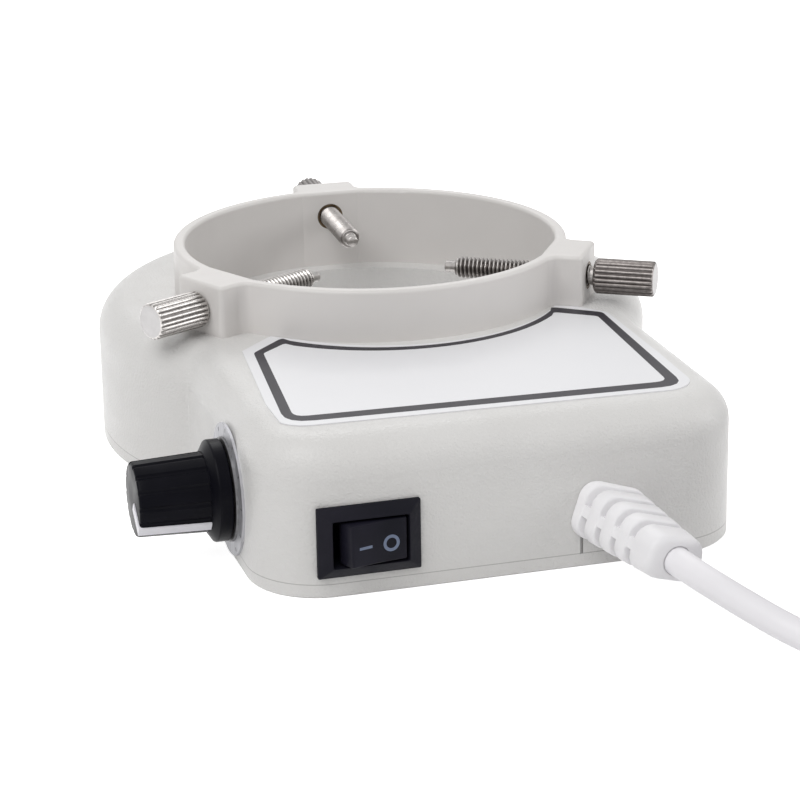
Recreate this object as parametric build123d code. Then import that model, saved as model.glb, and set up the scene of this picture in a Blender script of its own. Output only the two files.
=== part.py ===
"""Ring lamp for a stereo microscope, with its control box, mains cord and plug.

Every length is in millimetres and +Z is up. The origin is on the axis of the ring, in the plane of
the base. The control box reaches out to -Y: its front carries the rocker switch and the cord, and
its -X side carries the dimmer. Each sub-part is written to its own file in parts/.
"""

import os
from math import atan2, cos, hypot, pi, radians, sin, sqrt, tan

from build123d import *

# Fits and clearances
RUNNING_CLEARANCE = 0.05  # radial, for what turns or slides in a hole
SEAT_CLEARANCE = 0.1  # round a piece that is set in a moulded opening
FREE_CLEARANCE = 0.4  # between pieces that pass each other
CUT_OVERRUN = 1.0  # how far a cut runs past the face that it opens

# Housing, a keyhole in plan: a round ring that merges with a box
RING_RADIUS = 46.0
BOX_WIDTH = 75.0
BOX_REACH = 75.5  # from the ring's axis to the box's front face
BOX_CORNER_RADIUS = 11.0
WAIST_RADIUS = 2.0  # where the box's sides meet the ring
HOUSING_TOP = 23.8
TOP_EDGE_RADIUS = 5.6
WALL = 2.2
LIGHT_BORE_RADIUS = 27.5
LIGHT_BORE_WALL = 2.0
SHELF_TOP = 18.8  # the step inside the bore, under the collar
SHELF_THICKNESS = 2.0

# Bottom cover
COVER_THICKNESS = 2.2
COVER_EDGE_RADIUS = 0.4
WINDOW_RADIUS = 43.0  # the light leaves between the bore's wall and this circle
LIP_THICKNESS = 1.2
LIP_HEIGHT = 1.2
POST_RADIUS = 2.5
FRONT_POST_INSET = 6.0  # from the box's side to the middle of a front post
FRONT_POST_SETBACK = 6.5  # from the box's front to the middle of a front post
REAR_POST_GAP = 0.8  # between the light shield and a rear post
REAR_POST_ANGLE = 30.3  # degrees round the ring, from the middle of the box
COVER_SCREW_LENGTH = 10.0  # the height that its tip reaches
COVER_SCREW_RECESS = 0.4  # how far the heads stand back from the base

# Small screws, all alike but for their length; the posts' holes are as wide as the screws
SCREW_RADIUS = 0.9
SCREW_HEAD_RADIUS = 1.9
SCREW_HEAD_HEIGHT = 1.3
SCREW_LENGTH = 5.0
CROSS_WIDTH = 0.5
CROSS_DEPTH = 0.8

# Collar that takes the microscope, with its three bosses
COLLAR_RADIUS = 33.0
COLLAR_BORE_RADIUS = 31.0
COLLAR_HEIGHT = 8.5
COLLAR_TURN = -2.2  # degrees, as the collar sits on the housing
SPIGOT_RADIUS = 32.2
BOSS_COUNT = 3
BOSS_WIDTH = 10.8
BOSS_REACH = 37.6  # from the axis to a boss's outer face
BOSS_FLAT = 30.6  # from the axis to the flat inside a boss
BOSS_ROOT_RADIUS = 2.0
BOSS_EDGE_RADIUS = 0.9
RIM_EDGE_RADIUS = 0.6

# Thumb screws, one through each boss
INSERT_RADIUS = 2.3
THREAD_RADIUS = 1.8
THREAD_PITCH = 0.7
THREAD_DEPTH = 0.4
SCREW_RISE = 4.0  # from the housing's top to the screws' middle
SCREW_SHIFTS = (0.0, -0.6, 0.45)  # how far each screw is backed out from the places below
STUD_TIP = 12.75  # from the axis to the screw's tip
DOG_RADIUS = 0.95
DOG_LENGTH = 1.9
NECK_RADIUS = 1.6
HEAD_STANDOFF = 0.75  # between the boss and the head
HEAD_RADIUS = 2.95
HEAD_LENGTH = 10.0
HEAD_CHAMFER = 0.4
HEAD_BORE_DEPTH = 5.0
KNURL_TEETH = 22
KNURL_DEPTH = 0.25

# Lamps, on a ring-shaped board in the channel round the bore
LAMP_BOARD_BOTTOM = 10.2
BOARD_THICKNESS = 1.6
LAMP_BOARD_INNER_RADIUS = 30.0
LAMP_BOARD_OUTER_RADIUS = 43.3
LAMP_RADIUS = 2.5
LAMP_LENGTH = 8.6
LAMP_FLANGE_RADIUS = 2.8
LAMP_FLANGE_HEIGHT = 1.0
LAMP_CIRCLES = (33.6, 39.8)
LAMP_COUNT = 36  # places round each circle, four of which are left to the screws
LAMP_SCREWS = 4
LAMP_POST_CIRCLE = 36.7

# Label on top of the box, stuck on a little askew and cut round the collar
LABEL_THICKNESS = 0.15
LABEL_RIGHT_APEX = (25.9, -21.1)
LABEL_LEFT_APEX = (-22.6, -23.0)
LABEL_ARC_MIDDLE = (0.0, -35.5)
LABEL_RIGHT_SHOULDER_INSET = 5.1  # from the box's side, like the other insets of the label
LABEL_RIGHT_SHOULDER_Y = -29.5
LABEL_RIGHT_CORNER_INSET = 6.0
LABEL_RIGHT_CORNER_SETBACK = 6.1  # from the box's front
LABEL_LEFT_CORNER_INSET = 4.5
LABEL_LEFT_CORNER_SETBACK = 8.3  # from the box's front
LABEL_LEFT_SHOULDER_INSET = 8.2
LABEL_LEFT_SHOULDER_Y = -29.8
LABEL_CORNER_RADIUS = 5.0

# Dimmer: a dial plate, a knob and a potentiometer on one axis along X
DIMMER_SETBACK = 20.8  # from the box's front
DIMMER_Z = 10.8
DIAL_RADIUS = 10.0
DIAL_THICKNESS = 0.4
BUSHING_RADIUS = 3.5
BUSHING_REACH = 3.9  # past the housing's side
WASHER_RADIUS = 7.9
WASHER_THICKNESS = 0.4
NUT_WIDTH = 10.0
NUT_THICKNESS = 1.7
SHAFT_RADIUS = 3.0
SHAFT_REACH = 12.6
ROTOR_RADIUS = 5.4
ROTOR_THICKNESS = 1.2
POT_RADIUS = 7.0
POT_DEPTH = 7.0
POT_CAN_WALL = 0.6
POT_TAG_LENGTH = 4.8  # past the can
POT_TAG_WIDTH = 1.6
POT_TAG_THICKNESS = 0.4
POT_TAG_SPACING = 4.0
KNOB_GAP = 0.3  # between the washer and the knob
KNOB_LENGTH = 13.6
KNOB_END_RADIUS = 5.7
KNOB_GRIP_RADIUS = 6.1
KNOB_SKIRT_RADIUS = 7.7
KNOB_SKIRT_LENGTH = 1.9
KNOB_SKIRT_CHAMFER = 1.0
KNOB_SKIRT_WALL = 1.1
KNOB_EDGE_RADIUS = 0.4
KNOB_END_WALL = 1.6
KNOB_FLUTES = 14
FLUTE_RADIUS = 0.55
FLUTE_DEPTH = 0.3
POINTER_WIDTH = 1.6
POINTER_DEPTH = 0.5
POINTER_STEP = 0.2  # how far it stands proud
POINTER_INNER_RADIUS = 1.2
POINTER_ANGLE = 126.5  # degrees clockwise from the top, seen from outside
DIMMER_TRAVEL = 300.0  # degrees, read by whoever drives the joint

# Rocker switch in the front of the box
SWITCH_INSET = 15.6  # from the box's side to the switch's middle
SWITCH_Z = 8.8
BEZEL_WIDTH = 15.5
BEZEL_HEIGHT = 10.75
BEZEL_THICKNESS = 1.8
BEZEL_CHAMFER = 1.1
SWITCH_BODY_WIDTH = 13.2
SWITCH_BODY_HEIGHT = 8.8
SWITCH_BODY_DEPTH = 11.0
SWITCH_BACK_WALL = 2.0
SWITCH_WINDOW_WIDTH = 11.3
SWITCH_WINDOW_HEIGHT = 7.0
ROCKER_HEIGHT = 6.4
ROCKER_PIVOT_DEPTH = 2.5  # behind the housing's front face
ROCKER_TILT = 11.0  # degrees to either side
ROCKER_FRONT_HALF = 4.38
ROCKER_FRONT_REACH = 5.24  # from the pivot to the front edges
ROCKER_DISH = 0.45  # how far the middle of the front is drawn in
ROCKER_SIDE_HALF = 5.05
ROCKER_SIDE_REACH = 2.2
ROCKER_BACK_HALF = 3.0
ROCKER_BACK_REACH = 1.5
PIVOT_RADIUS = 0.8
PIVOT_LENGTH = 0.5  # into each side of the frame
SWITCH_TAG_WIDTH = 3.0
SWITCH_TAG_INNER = 1.0  # how far the tags stand into the switch
SWITCH_TAG_THICKNESS = 0.5
SWITCH_TAG_LENGTH = 6.0
SWITCH_TAG_SPACING = 8.4

# Driver board, in the room between the front wall and the light shield
DRIVER_BOARD_BOTTOM = 5.0
DRIVER_SWITCH_GAP = 3.3  # between the switch's body and the board
DRIVER_SIDE_GAP = 7.3  # between the board and the housing's side wall
DRIVER_FRONT_SHARE = 0.2165  # of the room's depth, free in front of the board
DRIVER_BACK_SHARE = 0.0619  # of the room's depth, free behind the board
DRIVER_SCREW_INSET = 2.2

# Places on the driver board: middle and size, as shares of the board's length and width
TRANSFORMER_SHARES = (-0.265, 0.0, 0.315, 0.543)
BULK_CAPACITOR_SHARES = (0.06, -0.043, 0.25, 0.476)
OUTPUT_CAPACITOR_SHARES = (0.14, 0.348, 0.1575, 0.3)
CHOKE_SHARES = (0.375, 0.305, 0.175, 0.333)
FUSE_SHARES = (0.35, -0.21, 0.225, 0.1524)
RECTIFIER_SHARES = (0.3375, 0.005, 0.205, 0.238)
CONTROLLER_SHARES = (-0.025, 0.371, 0.1225, 0.186)
SOCKET_SHARES = (-0.265, 0.386, 0.3, 0.181)

# Heights and details of what stands on the driver board
TRANSFORMER_HEIGHT = 11.0
TRANSFORMER_LIMB = 3.0
CORE_DEPTH_SHARE = 0.49  # of the transformer's width
BOBBIN_FLANGE = 0.8
BULK_CAPACITOR_HEIGHT = 12.5
OUTPUT_CAPACITOR_HEIGHT = 11.0
CAPACITOR_SEAT = 0.5  # height of the rubber foot
CAPACITOR_GROOVE = 0.3
CHOKE_HEIGHT = 8.0
CHOKE_FLANGE = 0.9
CHOKE_GROOVE = 0.9  # how far the drum is drawn in between its flanges
FUSE_CAP_LENGTH = 1.8
FUSE_CAP_STEP = 0.15
RECTIFIER_HEIGHT = 3.2
CONTROLLER_HEIGHT = 1.5
CHIP_EDGE = 0.3
SOCKET_HEIGHT = 5.6
SOCKET_WAYS = 5
SOCKET_SPACING_SHARE = 0.183  # of the socket's length

# Strain relief and the cord through it
RELIEF_X = 14.7
RELIEF_Z = 8.3
RELIEF_YAW = 9.7  # degrees from straight out, towards +X
RELIEF_DROOP = 2.3  # degrees below level
RELIEF_ROLL = -17.9  # degrees about its own axis
RELIEF_LENGTH = 19.7
RELIEF_BASE_WIDTH = 10.7
RELIEF_BASE_HEIGHT = 8.9
RELIEF_TIP_WIDTH = 9.3
RELIEF_TIP_HEIGHT = 6.5
RELIEF_CORNER_RADIUS = 2.6
RELIEF_SLOTS = 4
RELIEF_FIRST_SLOT = 2.2
RELIEF_SLOT_SPACING = 3.95
RELIEF_SLOT_WIDTH = 1.3
RELIEF_CORE_WALL = 0.6  # what the slots leave round the cord
RELIEF_WEB = 1.7
RELIEF_NECK_RADIUS = 4.0
RELIEF_FLANGE_RADIUS = 4.8
RELIEF_FLANGE_THICKNESS = 1.8
SLOT_WIDTH = 8.2  # the slot under the relief, filled by the cover's tab
CORD_RADIUS = 2.1
CORD_STUB = 1.5  # of sheath inside the box
CORE_SPACING = 2.0  # between the two wires inside the sheath

# Coil that the rest of the cord is put away in
COIL_X = 64.4
COIL_Y = -118.1
COIL_RADIUS = 29.8  # to the middle of the cord, at the outside
COIL_GAP = 0.55  # between turns and between layers
COIL_STEPS = 2  # turns from the outside of a layer to its inside
COIL_LAYERS = 4
COIL_ANGLE = 212.0  # degrees, where the cord comes in
COIL_LAST_ARC = 148.0  # degrees of the last arc, so that the cord leaves along +Y
TIE_THICKNESS = 0.6
TIE_WIDTH = 4.0
TIE_SLACK = 0.3
TIE_SIDE_SLACK = 0.7
TIE_HEAD = 5.0

# Route of the cord's two free stretches, between the strain relief, the coil and the plug
CORD_FIRST_RUN = 6.0
CORD_FALL = (26.9, -117.6, 4.0)  # where the cord turns towards the coil
CORD_LAST_RUN = 8.0
CORD_END_ROUTE = ((94.2, -104.4, 17.25), (93.0, -90.4, 11.9), (93.6, -77.0, 6.5), (94.2, -67.5, 6.5))

# Plug
PLUG_WIDTH = 24.0
PLUG_HEIGHT = 13.0
PLUG_LENGTH = 28.0
PLUG_NOSE_WIDTH = 20.0
PLUG_NOSE_HEIGHT = 11.0
PLUG_NOSE_LENGTH = 5.0
PLUG_CORNER_RADIUS = 3.5
PLUG_RELIEF_LENGTH = 12.0
PLUG_RELIEF_RADIUS = 4.6
PLUG_RELIEF_TIP_RADIUS = 3.1
PLUG_RELIEF_RINGS = 3
PLUG_RING_WIDTH = 1.2
PLUG_RING_DEPTH = 0.7
BLADE_SPACING = 12.7
BLADE_WIDTH = 6.3
BLADE_THICKNESS = 1.5
BLADE_LENGTH = 16.5
BLADE_HOLE_RADIUS = 1.5
BLADE_HOLE_INSET = 4.0

# Leads inside the housing
LEAD_RADIUS = 0.65
LEAD_BEND_RADIUS = 1.3
LEAD_STEP = 1.7  # between leads that cross above each other
LEAD_ARCH = 4.2  # height of the lowest arch over the socket

# Heights and places that follow from the sizes above
BOX_HALF = BOX_WIDTH / 2
CEILING = HOUSING_TOP - WALL
RIM_TOP = HOUSING_TOP + COLLAR_HEIGHT
SCREW_HEIGHT = HOUSING_TOP + SCREW_RISE
CHANNEL_WALL_RADIUS = SPIGOT_RADIUS + SEAT_CLEARANCE + LIGHT_BORE_WALL
HEAD_START = BOSS_REACH + HEAD_STANDOFF
FRONT = -BOX_REACH
SIDE = -BOX_HALF
LAMP_BOARD_TOP = LAMP_BOARD_BOTTOM + BOARD_THICKNESS
SHIELD_TOP = LAMP_BOARD_BOTTOM - FREE_CLEARANCE
SHIELD_RADIUS = WINDOW_RADIUS + LIP_THICKNESS
SWITCH_X = SIDE + SWITCH_INSET
SWITCH_BACK = FRONT + SWITCH_BODY_DEPTH
DIMMER_Y = FRONT + DIMMER_SETBACK
DRIVER_TOP = DRIVER_BOARD_BOTTOM + BOARD_THICKNESS
DRIVER_ROOM = BOX_REACH - WALL - SHIELD_RADIUS
DRIVER_FRONT = FRONT + WALL + DRIVER_ROOM * DRIVER_FRONT_SHARE
DRIVER_WIDTH = DRIVER_ROOM * (1 - DRIVER_FRONT_SHARE - DRIVER_BACK_SHARE)
DRIVER_LEFT = SWITCH_X + SWITCH_BODY_WIDTH / 2 + DRIVER_SWITCH_GAP
DRIVER_LENGTH = BOX_HALF - WALL - DRIVER_SIDE_GAP - DRIVER_LEFT
DRIVER_X = DRIVER_LEFT + DRIVER_LENGTH / 2
DRIVER_Y = DRIVER_FRONT + DRIVER_WIDTH / 2
KNOB_BACK = SIDE - DIAL_THICKNESS - WASHER_THICKNESS - KNOB_GAP
KNOB_END = KNOB_BACK - KNOB_LENGTH
NUT_BACK = SIDE - DIAL_THICKNESS - WASHER_THICKNESS
POT_TAG_X = SIDE + WALL + POT_DEPTH / 3
POT_TAG_END = DIMMER_Y + POT_RADIUS + POT_TAG_LENGTH
SOCKET_TOP = DRIVER_TOP + SOCKET_HEIGHT
REAR_POST_CIRCLE = SHIELD_RADIUS + REAR_POST_GAP + POST_RADIUS
RELIEF_INNER_FACE = FRONT + WALL + RELIEF_FLANGE_THICKNESS
CORD_INNER_END = RELIEF_INNER_FACE + CORD_STUB
COIL_PITCH = 2 * CORD_RADIUS + COIL_GAP
COIL_BASE = TIE_THICKNESS + TIE_SLACK + CORD_RADIUS
COIL_SAMPLES = 40  # points along each arc, where the gap is measured
CORNER_SHARE = 0.45  # of the shorter run, taken by a corner's arc


# Shapes that several pieces share
def slab(x0, x1, y0, y1, z0, z1):
    """A box between two values on each axis."""
    size = Box(x1 - x0, y1 - y0, z1 - z0, align=(Align.MIN, Align.MIN, Align.MIN))
    return Pos(x0, y0, z0) * size


def disc(radius, z0, z1, x=0, y=0):
    """An upright cylinder between two heights."""
    upright = Cylinder(radius, z1 - z0, align=(Align.CENTER, Align.CENTER, Align.MIN))
    return Pos(x, y, z0) * upright


def ring(inner, outer, z0, z1):
    """An upright tube on the lamp's axis."""
    return disc(outer, z0, z1) - disc(inner, z0 - CUT_OVERRUN, z1 + CUT_OVERRUN)


def prism(sketch, z0, z1):
    """A flat outline, raised between two heights."""
    return Pos(0, 0, z0) * extrude(sketch, z1 - z0)


def turned(profile_points):
    """A solid turned about X from (x, radius) points that start and end on the axis."""
    outline = Polyline(*[(x, r) for x, r in profile_points], close=True)
    return revolve(make_face(outline), Axis.X)


def across_side(x0, x1, radius, y=DIMMER_Y, z=DIMMER_Z):
    """A cylinder along X between two values, on the dimmer's axis unless told otherwise."""
    lying = Cylinder(radius, abs(x1 - x0), rotation=(0, 90, 0))
    return Pos((x0 + x1) / 2, y, z) * lying


def around(count, angle=0):
    """Turns about Z that repeat a piece evenly."""
    return [Rot(0, 0, angle + 360 * i / count) for i in range(count)]


def boss_turns():
    """The turn that brings +X to each boss."""
    return around(BOSS_COUNT, 90 + COLLAR_TURN)


def lead(points, bends, radius=LEAD_RADIUS):
    """A round wire along straight runs joined by arcs of the given radii."""
    path = FilletPolyline(*points, radius=bends)
    start = Plane(origin=path @ 0, z_dir=path % 0)
    return sweep(start * Circle(radius), path)


def pan_screw(x, y, seat, tip):
    """A pan-head screw that bears on the height seat and reaches up or down to the height tip."""
    way = 1 if tip > seat else -1
    face = seat - way * SCREW_HEAD_HEIGHT
    screw = disc(SCREW_HEAD_RADIUS, min(seat, face), max(seat, face), x, y)
    screw += disc(SCREW_RADIUS, min(seat, tip), max(seat, tip), x, y)
    return screw - cross_recess(x, y, face, way)


def cross_recess(x, y, face, way):
    """The cross in a screw's head, cut from its face."""
    bottom = face - CUT_OVERRUN if way > 0 else face - CROSS_DEPTH
    top = face + CROSS_DEPTH if way > 0 else face + CUT_OVERRUN
    reach = SCREW_HEAD_RADIUS - CROSS_WIDTH
    half = CROSS_WIDTH / 2
    one = slab(x - reach, x + reach, y - half, y + half, bottom, top)
    return one + slab(x - half, x + half, y - reach, y + reach, bottom, top)


# Outlines of the housing
def keyhole():
    """The housing's plan: the ring and the box in one outline."""
    box = Pos(0, FRONT / 2) * Rectangle(BOX_WIDTH, BOX_REACH)
    front = box.vertices().filter_by(lambda v: v.Y < FRONT / 2)
    outline = Circle(RING_RADIUS) + fillet(front, BOX_CORNER_RADIUS)
    waist_y = -sqrt(RING_RADIUS**2 - BOX_HALF**2)
    waist = outline.vertices().filter_by(lambda v: abs(v.Y - waist_y) < RUNNING_CLEARANCE)
    return fillet(waist, WAIST_RADIUS)


def post_places():
    """Where the four screws of the bottom cover stand."""
    turn = radians(REAR_POST_ANGLE)
    front = (BOX_HALF - FRONT_POST_INSET, FRONT + FRONT_POST_SETBACK)
    rear = (REAR_POST_CIRCLE * sin(turn), -REAR_POST_CIRCLE * cos(turn))
    return [(side * x, y) for x, y in (front, rear) for side in (-1, 1)]


def lamp_post_places():
    """Where the four screws of the lamp board stand."""
    turns = [radians(45 + 360 * i / LAMP_SCREWS) for i in range(LAMP_SCREWS)]
    return [(LAMP_POST_CIRCLE * cos(t), LAMP_POST_CIRCLE * sin(t)) for t in turns]


def driver_screw_places():
    """Where the two screws of the driver board stand, at its front corners."""
    reach = DRIVER_LENGTH / 2 - DRIVER_SCREW_INSET
    y = DRIVER_Y - DRIVER_WIDTH / 2 + DRIVER_SCREW_INSET
    return [(DRIVER_X - reach, y), (DRIVER_X + reach, y)]


# Housing pieces
def upper_housing():
    """The moulded shell: top, sides, the bore's wall with its shelf, and the posts inside."""
    shell = prism(keyhole(), COVER_THICKNESS, HOUSING_TOP)
    shell = fillet(shell.edges().group_by(Axis.Z)[-1], TOP_EDGE_RADIUS)
    cavity = prism(offset(keyhole(), -WALL), COVER_THICKNESS, CEILING)
    cavity = fillet(cavity.edges().group_by(Axis.Z)[-1], TOP_EDGE_RADIUS - WALL)
    shell -= cavity - disc(LIGHT_BORE_RADIUS, COVER_THICKNESS, CEILING)
    shell -= disc(CHANNEL_WALL_RADIUS, COVER_THICKNESS, HOUSING_TOP + CUT_OVERRUN)
    shell += ring(SPIGOT_RADIUS + SEAT_CLEARANCE, CHANNEL_WALL_RADIUS, SHELF_TOP, HOUSING_TOP)
    shell += ring(LIGHT_BORE_RADIUS, CHANNEL_WALL_RADIUS, SHELF_TOP - SHELF_THICKNESS, SHELF_TOP)
    shell += ring(LIGHT_BORE_RADIUS, LIGHT_BORE_RADIUS + LIGHT_BORE_WALL, 0, SHELF_TOP)
    for x, y in post_places():
        shell += disc(POST_RADIUS, COVER_THICKNESS, CEILING, x, y)
        shell -= disc(SCREW_RADIUS, 0, COVER_SCREW_LENGTH + COVER_THICKNESS, x, y)
    for x, y in lamp_post_places():
        shell += disc(POST_RADIUS, LAMP_BOARD_TOP, CEILING, x, y)
        shell -= disc(SCREW_RADIUS, LAMP_BOARD_TOP, LAMP_BOARD_TOP + SCREW_LENGTH, x, y)
    shell -= switch_opening()
    hole = BUSHING_RADIUS + SEAT_CLEARANCE
    shell -= across_side(SIDE - CUT_OVERRUN, SIDE + WALL + CUT_OVERRUN, hole)
    return shell - relief_opening()


def switch_opening():
    """The hole in the front that the switch is pushed into."""
    half_width = SWITCH_BODY_WIDTH / 2 + SEAT_CLEARANCE
    half_height = SWITCH_BODY_HEIGHT / 2 + SEAT_CLEARANCE
    return slab(
        SWITCH_X - half_width,
        SWITCH_X + half_width,
        FRONT - CUT_OVERRUN,
        FRONT + WALL + CUT_OVERRUN,
        SWITCH_Z - half_height,
        SWITCH_Z + half_height,
    )


def relief_opening():
    """The keyhole slot in the front that the strain relief's neck drops into."""
    front, back = FRONT - CUT_OVERRUN, FRONT + WALL + CUT_OVERRUN
    radius = RELIEF_NECK_RADIUS + SEAT_CLEARANCE
    half = SLOT_WIDTH / 2 + SEAT_CLEARANCE
    slot = slab(RELIEF_X - half, RELIEF_X + half, front, back, 0, RELIEF_Z)
    return round_through(front, back, radius) + slot


def bottom_cover():
    """The flat cover, open under the lamps, with its lip, light shield, posts and cord slot's tab."""
    plate = prism(keyhole(), 0, COVER_THICKNESS)
    plate = chamfer(plate.edges().group_by(Axis.Z)[0], COVER_EDGE_RADIUS)
    lip_outline = offset(keyhole(), -WALL - SEAT_CLEARANCE)
    lip_top = COVER_THICKNESS + LIP_HEIGHT
    lip = prism(lip_outline - offset(lip_outline, -LIP_THICKNESS), COVER_THICKNESS, lip_top)
    shield = ring(WINDOW_RADIUS, SHIELD_RADIUS, COVER_THICKNESS, SHIELD_TOP)
    shield &= prism(lip_outline, COVER_THICKNESS, SHIELD_TOP)
    cover = plate + lip + shield - disc(WINDOW_RADIUS, -CUT_OVERRUN, HOUSING_TOP)
    cover += cord_tab()
    for x, y in driver_post_places():
        cover += disc(POST_RADIUS, COVER_THICKNESS, DRIVER_BOARD_BOTTOM, x, y)
    for x, y in driver_screw_places():
        cover -= disc(SCREW_RADIUS, DRIVER_TOP - SCREW_LENGTH, DRIVER_TOP, x, y)
    for x, y in post_places():
        cover -= disc(POST_RADIUS + SEAT_CLEARANCE, COVER_THICKNESS, HOUSING_TOP, x, y)
        cover -= disc(SCREW_RADIUS + SEAT_CLEARANCE, 0, COVER_THICKNESS, x, y)
        seat = COVER_SCREW_RECESS + SCREW_HEAD_HEIGHT
        cover -= disc(SCREW_HEAD_RADIUS + SEAT_CLEARANCE, -CUT_OVERRUN, seat, x, y)
    return cover


def driver_post_places():
    """The four posts under the driver board, two of which take its screws."""
    reach = DRIVER_LENGTH / 2 - DRIVER_SCREW_INSET
    across = DRIVER_WIDTH / 2 - DRIVER_SCREW_INSET
    return [(DRIVER_X + i * reach, DRIVER_Y + j * across) for i in (-1, 1) for j in (-1, 1)]


def cord_tab():
    """The upright tab that fills the slot below the strain relief."""
    half = SLOT_WIDTH / 2
    top = RELIEF_Z - RELIEF_NECK_RADIUS / 2
    tab = slab(RELIEF_X - half, RELIEF_X + half, FRONT, FRONT + WALL, COVER_THICKNESS, top)
    radius = RELIEF_NECK_RADIUS + SEAT_CLEARANCE
    return tab - round_through(FRONT - CUT_OVERRUN, FRONT + WALL + CUT_OVERRUN, radius)


def cover_screws():
    """Four screws up through the cover into the housing's posts."""
    seat = COVER_SCREW_RECESS + SCREW_HEAD_HEIGHT
    return [pan_screw(x, y, seat, COVER_SCREW_LENGTH) for x, y in post_places()]


# Collar and thumb screws
def collar_bore():
    """The collar's bore in plan, round but for a flat inside each boss."""
    bore = Circle(COLLAR_BORE_RADIUS)
    depth = COLLAR_BORE_RADIUS - BOSS_FLAT + CUT_OVERRUN
    for turn in boss_turns():
        bore -= turn * Pos(BOSS_FLAT + depth / 2, 0) * Rectangle(depth, BOSS_WIDTH)
    return bore


def collar_plan():
    """The collar's outer outline, a circle with three bosses."""
    plan = Circle(COLLAR_RADIUS)
    for turn in boss_turns():
        plan += turn * Pos(BOSS_REACH / 2, 0) * Rectangle(BOSS_REACH, BOSS_WIDTH)
    corner_radius = hypot(BOSS_REACH, BOSS_WIDTH / 2)
    corners = plan.vertices().filter_by(lambda v: hypot(v.X, v.Y) > corner_radius - SEAT_CLEARANCE)
    plan = fillet(corners, BOSS_EDGE_RADIUS)
    roots = plan.vertices().filter_by(lambda v: abs(hypot(v.X, v.Y) - COLLAR_RADIUS) < SEAT_CLEARANCE)
    return fillet(roots, BOSS_ROOT_RADIUS)


def collar_ring():
    """The smooth collar with its three bosses, and the spigot that drops into the housing."""
    collar = prism(collar_plan() - collar_bore(), HOUSING_TOP, RIM_TOP)
    collar = fillet(collar.edges().group_by(Axis.Z)[-1], RIM_EDGE_RADIUS)
    spigot = Circle(SPIGOT_RADIUS) - collar_bore()
    collar += prism(spigot, SHELF_TOP, HOUSING_TOP)
    for turn in boss_turns():
        collar -= turn * radial(BOSS_FLAT - CUT_OVERRUN, BOSS_REACH + CUT_OVERRUN, INSERT_RADIUS)
    return collar


def radial(r0, r1, radius):
    """A cylinder along +X at the screws' height, between two distances from the axis."""
    return across_side(r0, r1, radius, 0, SCREW_HEIGHT)


def thread_inserts():
    """The metal bush pressed into each boss."""
    bush = radial(BOSS_FLAT, BOSS_REACH, INSERT_RADIUS)
    bore = THREAD_RADIUS + RUNNING_CLEARANCE
    bush -= radial(BOSS_FLAT - CUT_OVERRUN, BOSS_REACH + CUT_OVERRUN, bore)
    return [turn * bush for turn in boss_turns()]


def screw_places():
    """The place of each thumb screw: its boss's turn, then its own shift outwards."""
    return [turn * Pos(shift, 0) for turn, shift in zip(boss_turns(), SCREW_SHIFTS)]


def thumb_stud(place):
    """A threaded stud with a dog point; each turn of thread is drawn as a ridge."""
    thread_start = STUD_TIP + DOG_LENGTH
    root = THREAD_RADIUS - THREAD_DEPTH
    neck_start = HEAD_START - HEAD_STANDOFF
    turns = int((neck_start - thread_start) / THREAD_PITCH)
    points = [(STUD_TIP, 0), (STUD_TIP, DOG_RADIUS), (thread_start, DOG_RADIUS), (thread_start, root)]
    for i in range(turns):
        points.append((thread_start + (i + 0.5) * THREAD_PITCH, THREAD_RADIUS))
        points.append((thread_start + (i + 1) * THREAD_PITCH, root))
    stud_end = HEAD_START + HEAD_BORE_DEPTH - RUNNING_CLEARANCE
    points += [(neck_start, root), (neck_start, NECK_RADIUS), (stud_end, NECK_RADIUS), (stud_end, 0)]
    return place * Pos(0, 0, SCREW_HEIGHT) * turned(points)


def thumb_head(place):
    """A straight-knurled cylinder with a chamfered end."""
    teeth = []
    for i in range(2 * KNURL_TEETH):
        angle = pi * i / KNURL_TEETH
        radius = HEAD_RADIUS - KNURL_DEPTH * (i % 2)
        teeth.append((radius * cos(angle), radius * sin(angle)))
    knurl = extrude(make_face(Polyline(*teeth, close=True)), HEAD_LENGTH)
    lying = Pos(HEAD_START, 0, SCREW_HEIGHT) * Rot(0, 90, 0) * knurl
    end = HEAD_START + HEAD_LENGTH
    rim = HEAD_RADIUS - HEAD_CHAMFER
    envelope = Pos(0, 0, SCREW_HEIGHT) * turned([
        (HEAD_START, 0),
        (HEAD_START, rim),
        (HEAD_START + HEAD_CHAMFER, HEAD_RADIUS),
        (end - HEAD_CHAMFER, HEAD_RADIUS),
        (end, rim),
        (end, 0),
    ])
    bore = NECK_RADIUS + RUNNING_CLEARANCE
    knurled = (lying & envelope) - radial(HEAD_START - CUT_OVERRUN, HEAD_START + HEAD_BORE_DEPTH, bore)
    return place * knurled


# Lamps
def lamp_board():
    """The ring-shaped board, with holes for its screws."""
    board = ring(LAMP_BOARD_INNER_RADIUS, LAMP_BOARD_OUTER_RADIUS, LAMP_BOARD_BOTTOM, LAMP_BOARD_TOP)
    for x, y in lamp_post_places():
        board -= disc(SCREW_RADIUS + SEAT_CLEARANCE, 0, HOUSING_TOP, x, y)
    return board


def led_lamps():
    """Two circles of round-nosed lamps that point down, each under the board."""
    flange = disc(LAMP_FLANGE_RADIUS, LAMP_BOARD_BOTTOM - LAMP_FLANGE_HEIGHT, LAMP_BOARD_BOTTOM)
    nose = LAMP_BOARD_BOTTOM - LAMP_LENGTH + LAMP_RADIUS
    lamp = flange + disc(LAMP_RADIUS, nose, LAMP_BOARD_BOTTOM)
    lamp += Pos(0, 0, nose) * Sphere(LAMP_RADIUS)
    step = 360 / LAMP_COUNT
    gap = LAMP_COUNT // LAMP_SCREWS
    places = [i for i in range(LAMP_COUNT) if i % gap != gap // 2]
    return [
        Rot(0, 0, (i + 0.5) * step) * Pos(circle, 0) * lamp
        for circle in LAMP_CIRCLES
        for i in places
    ]


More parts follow.
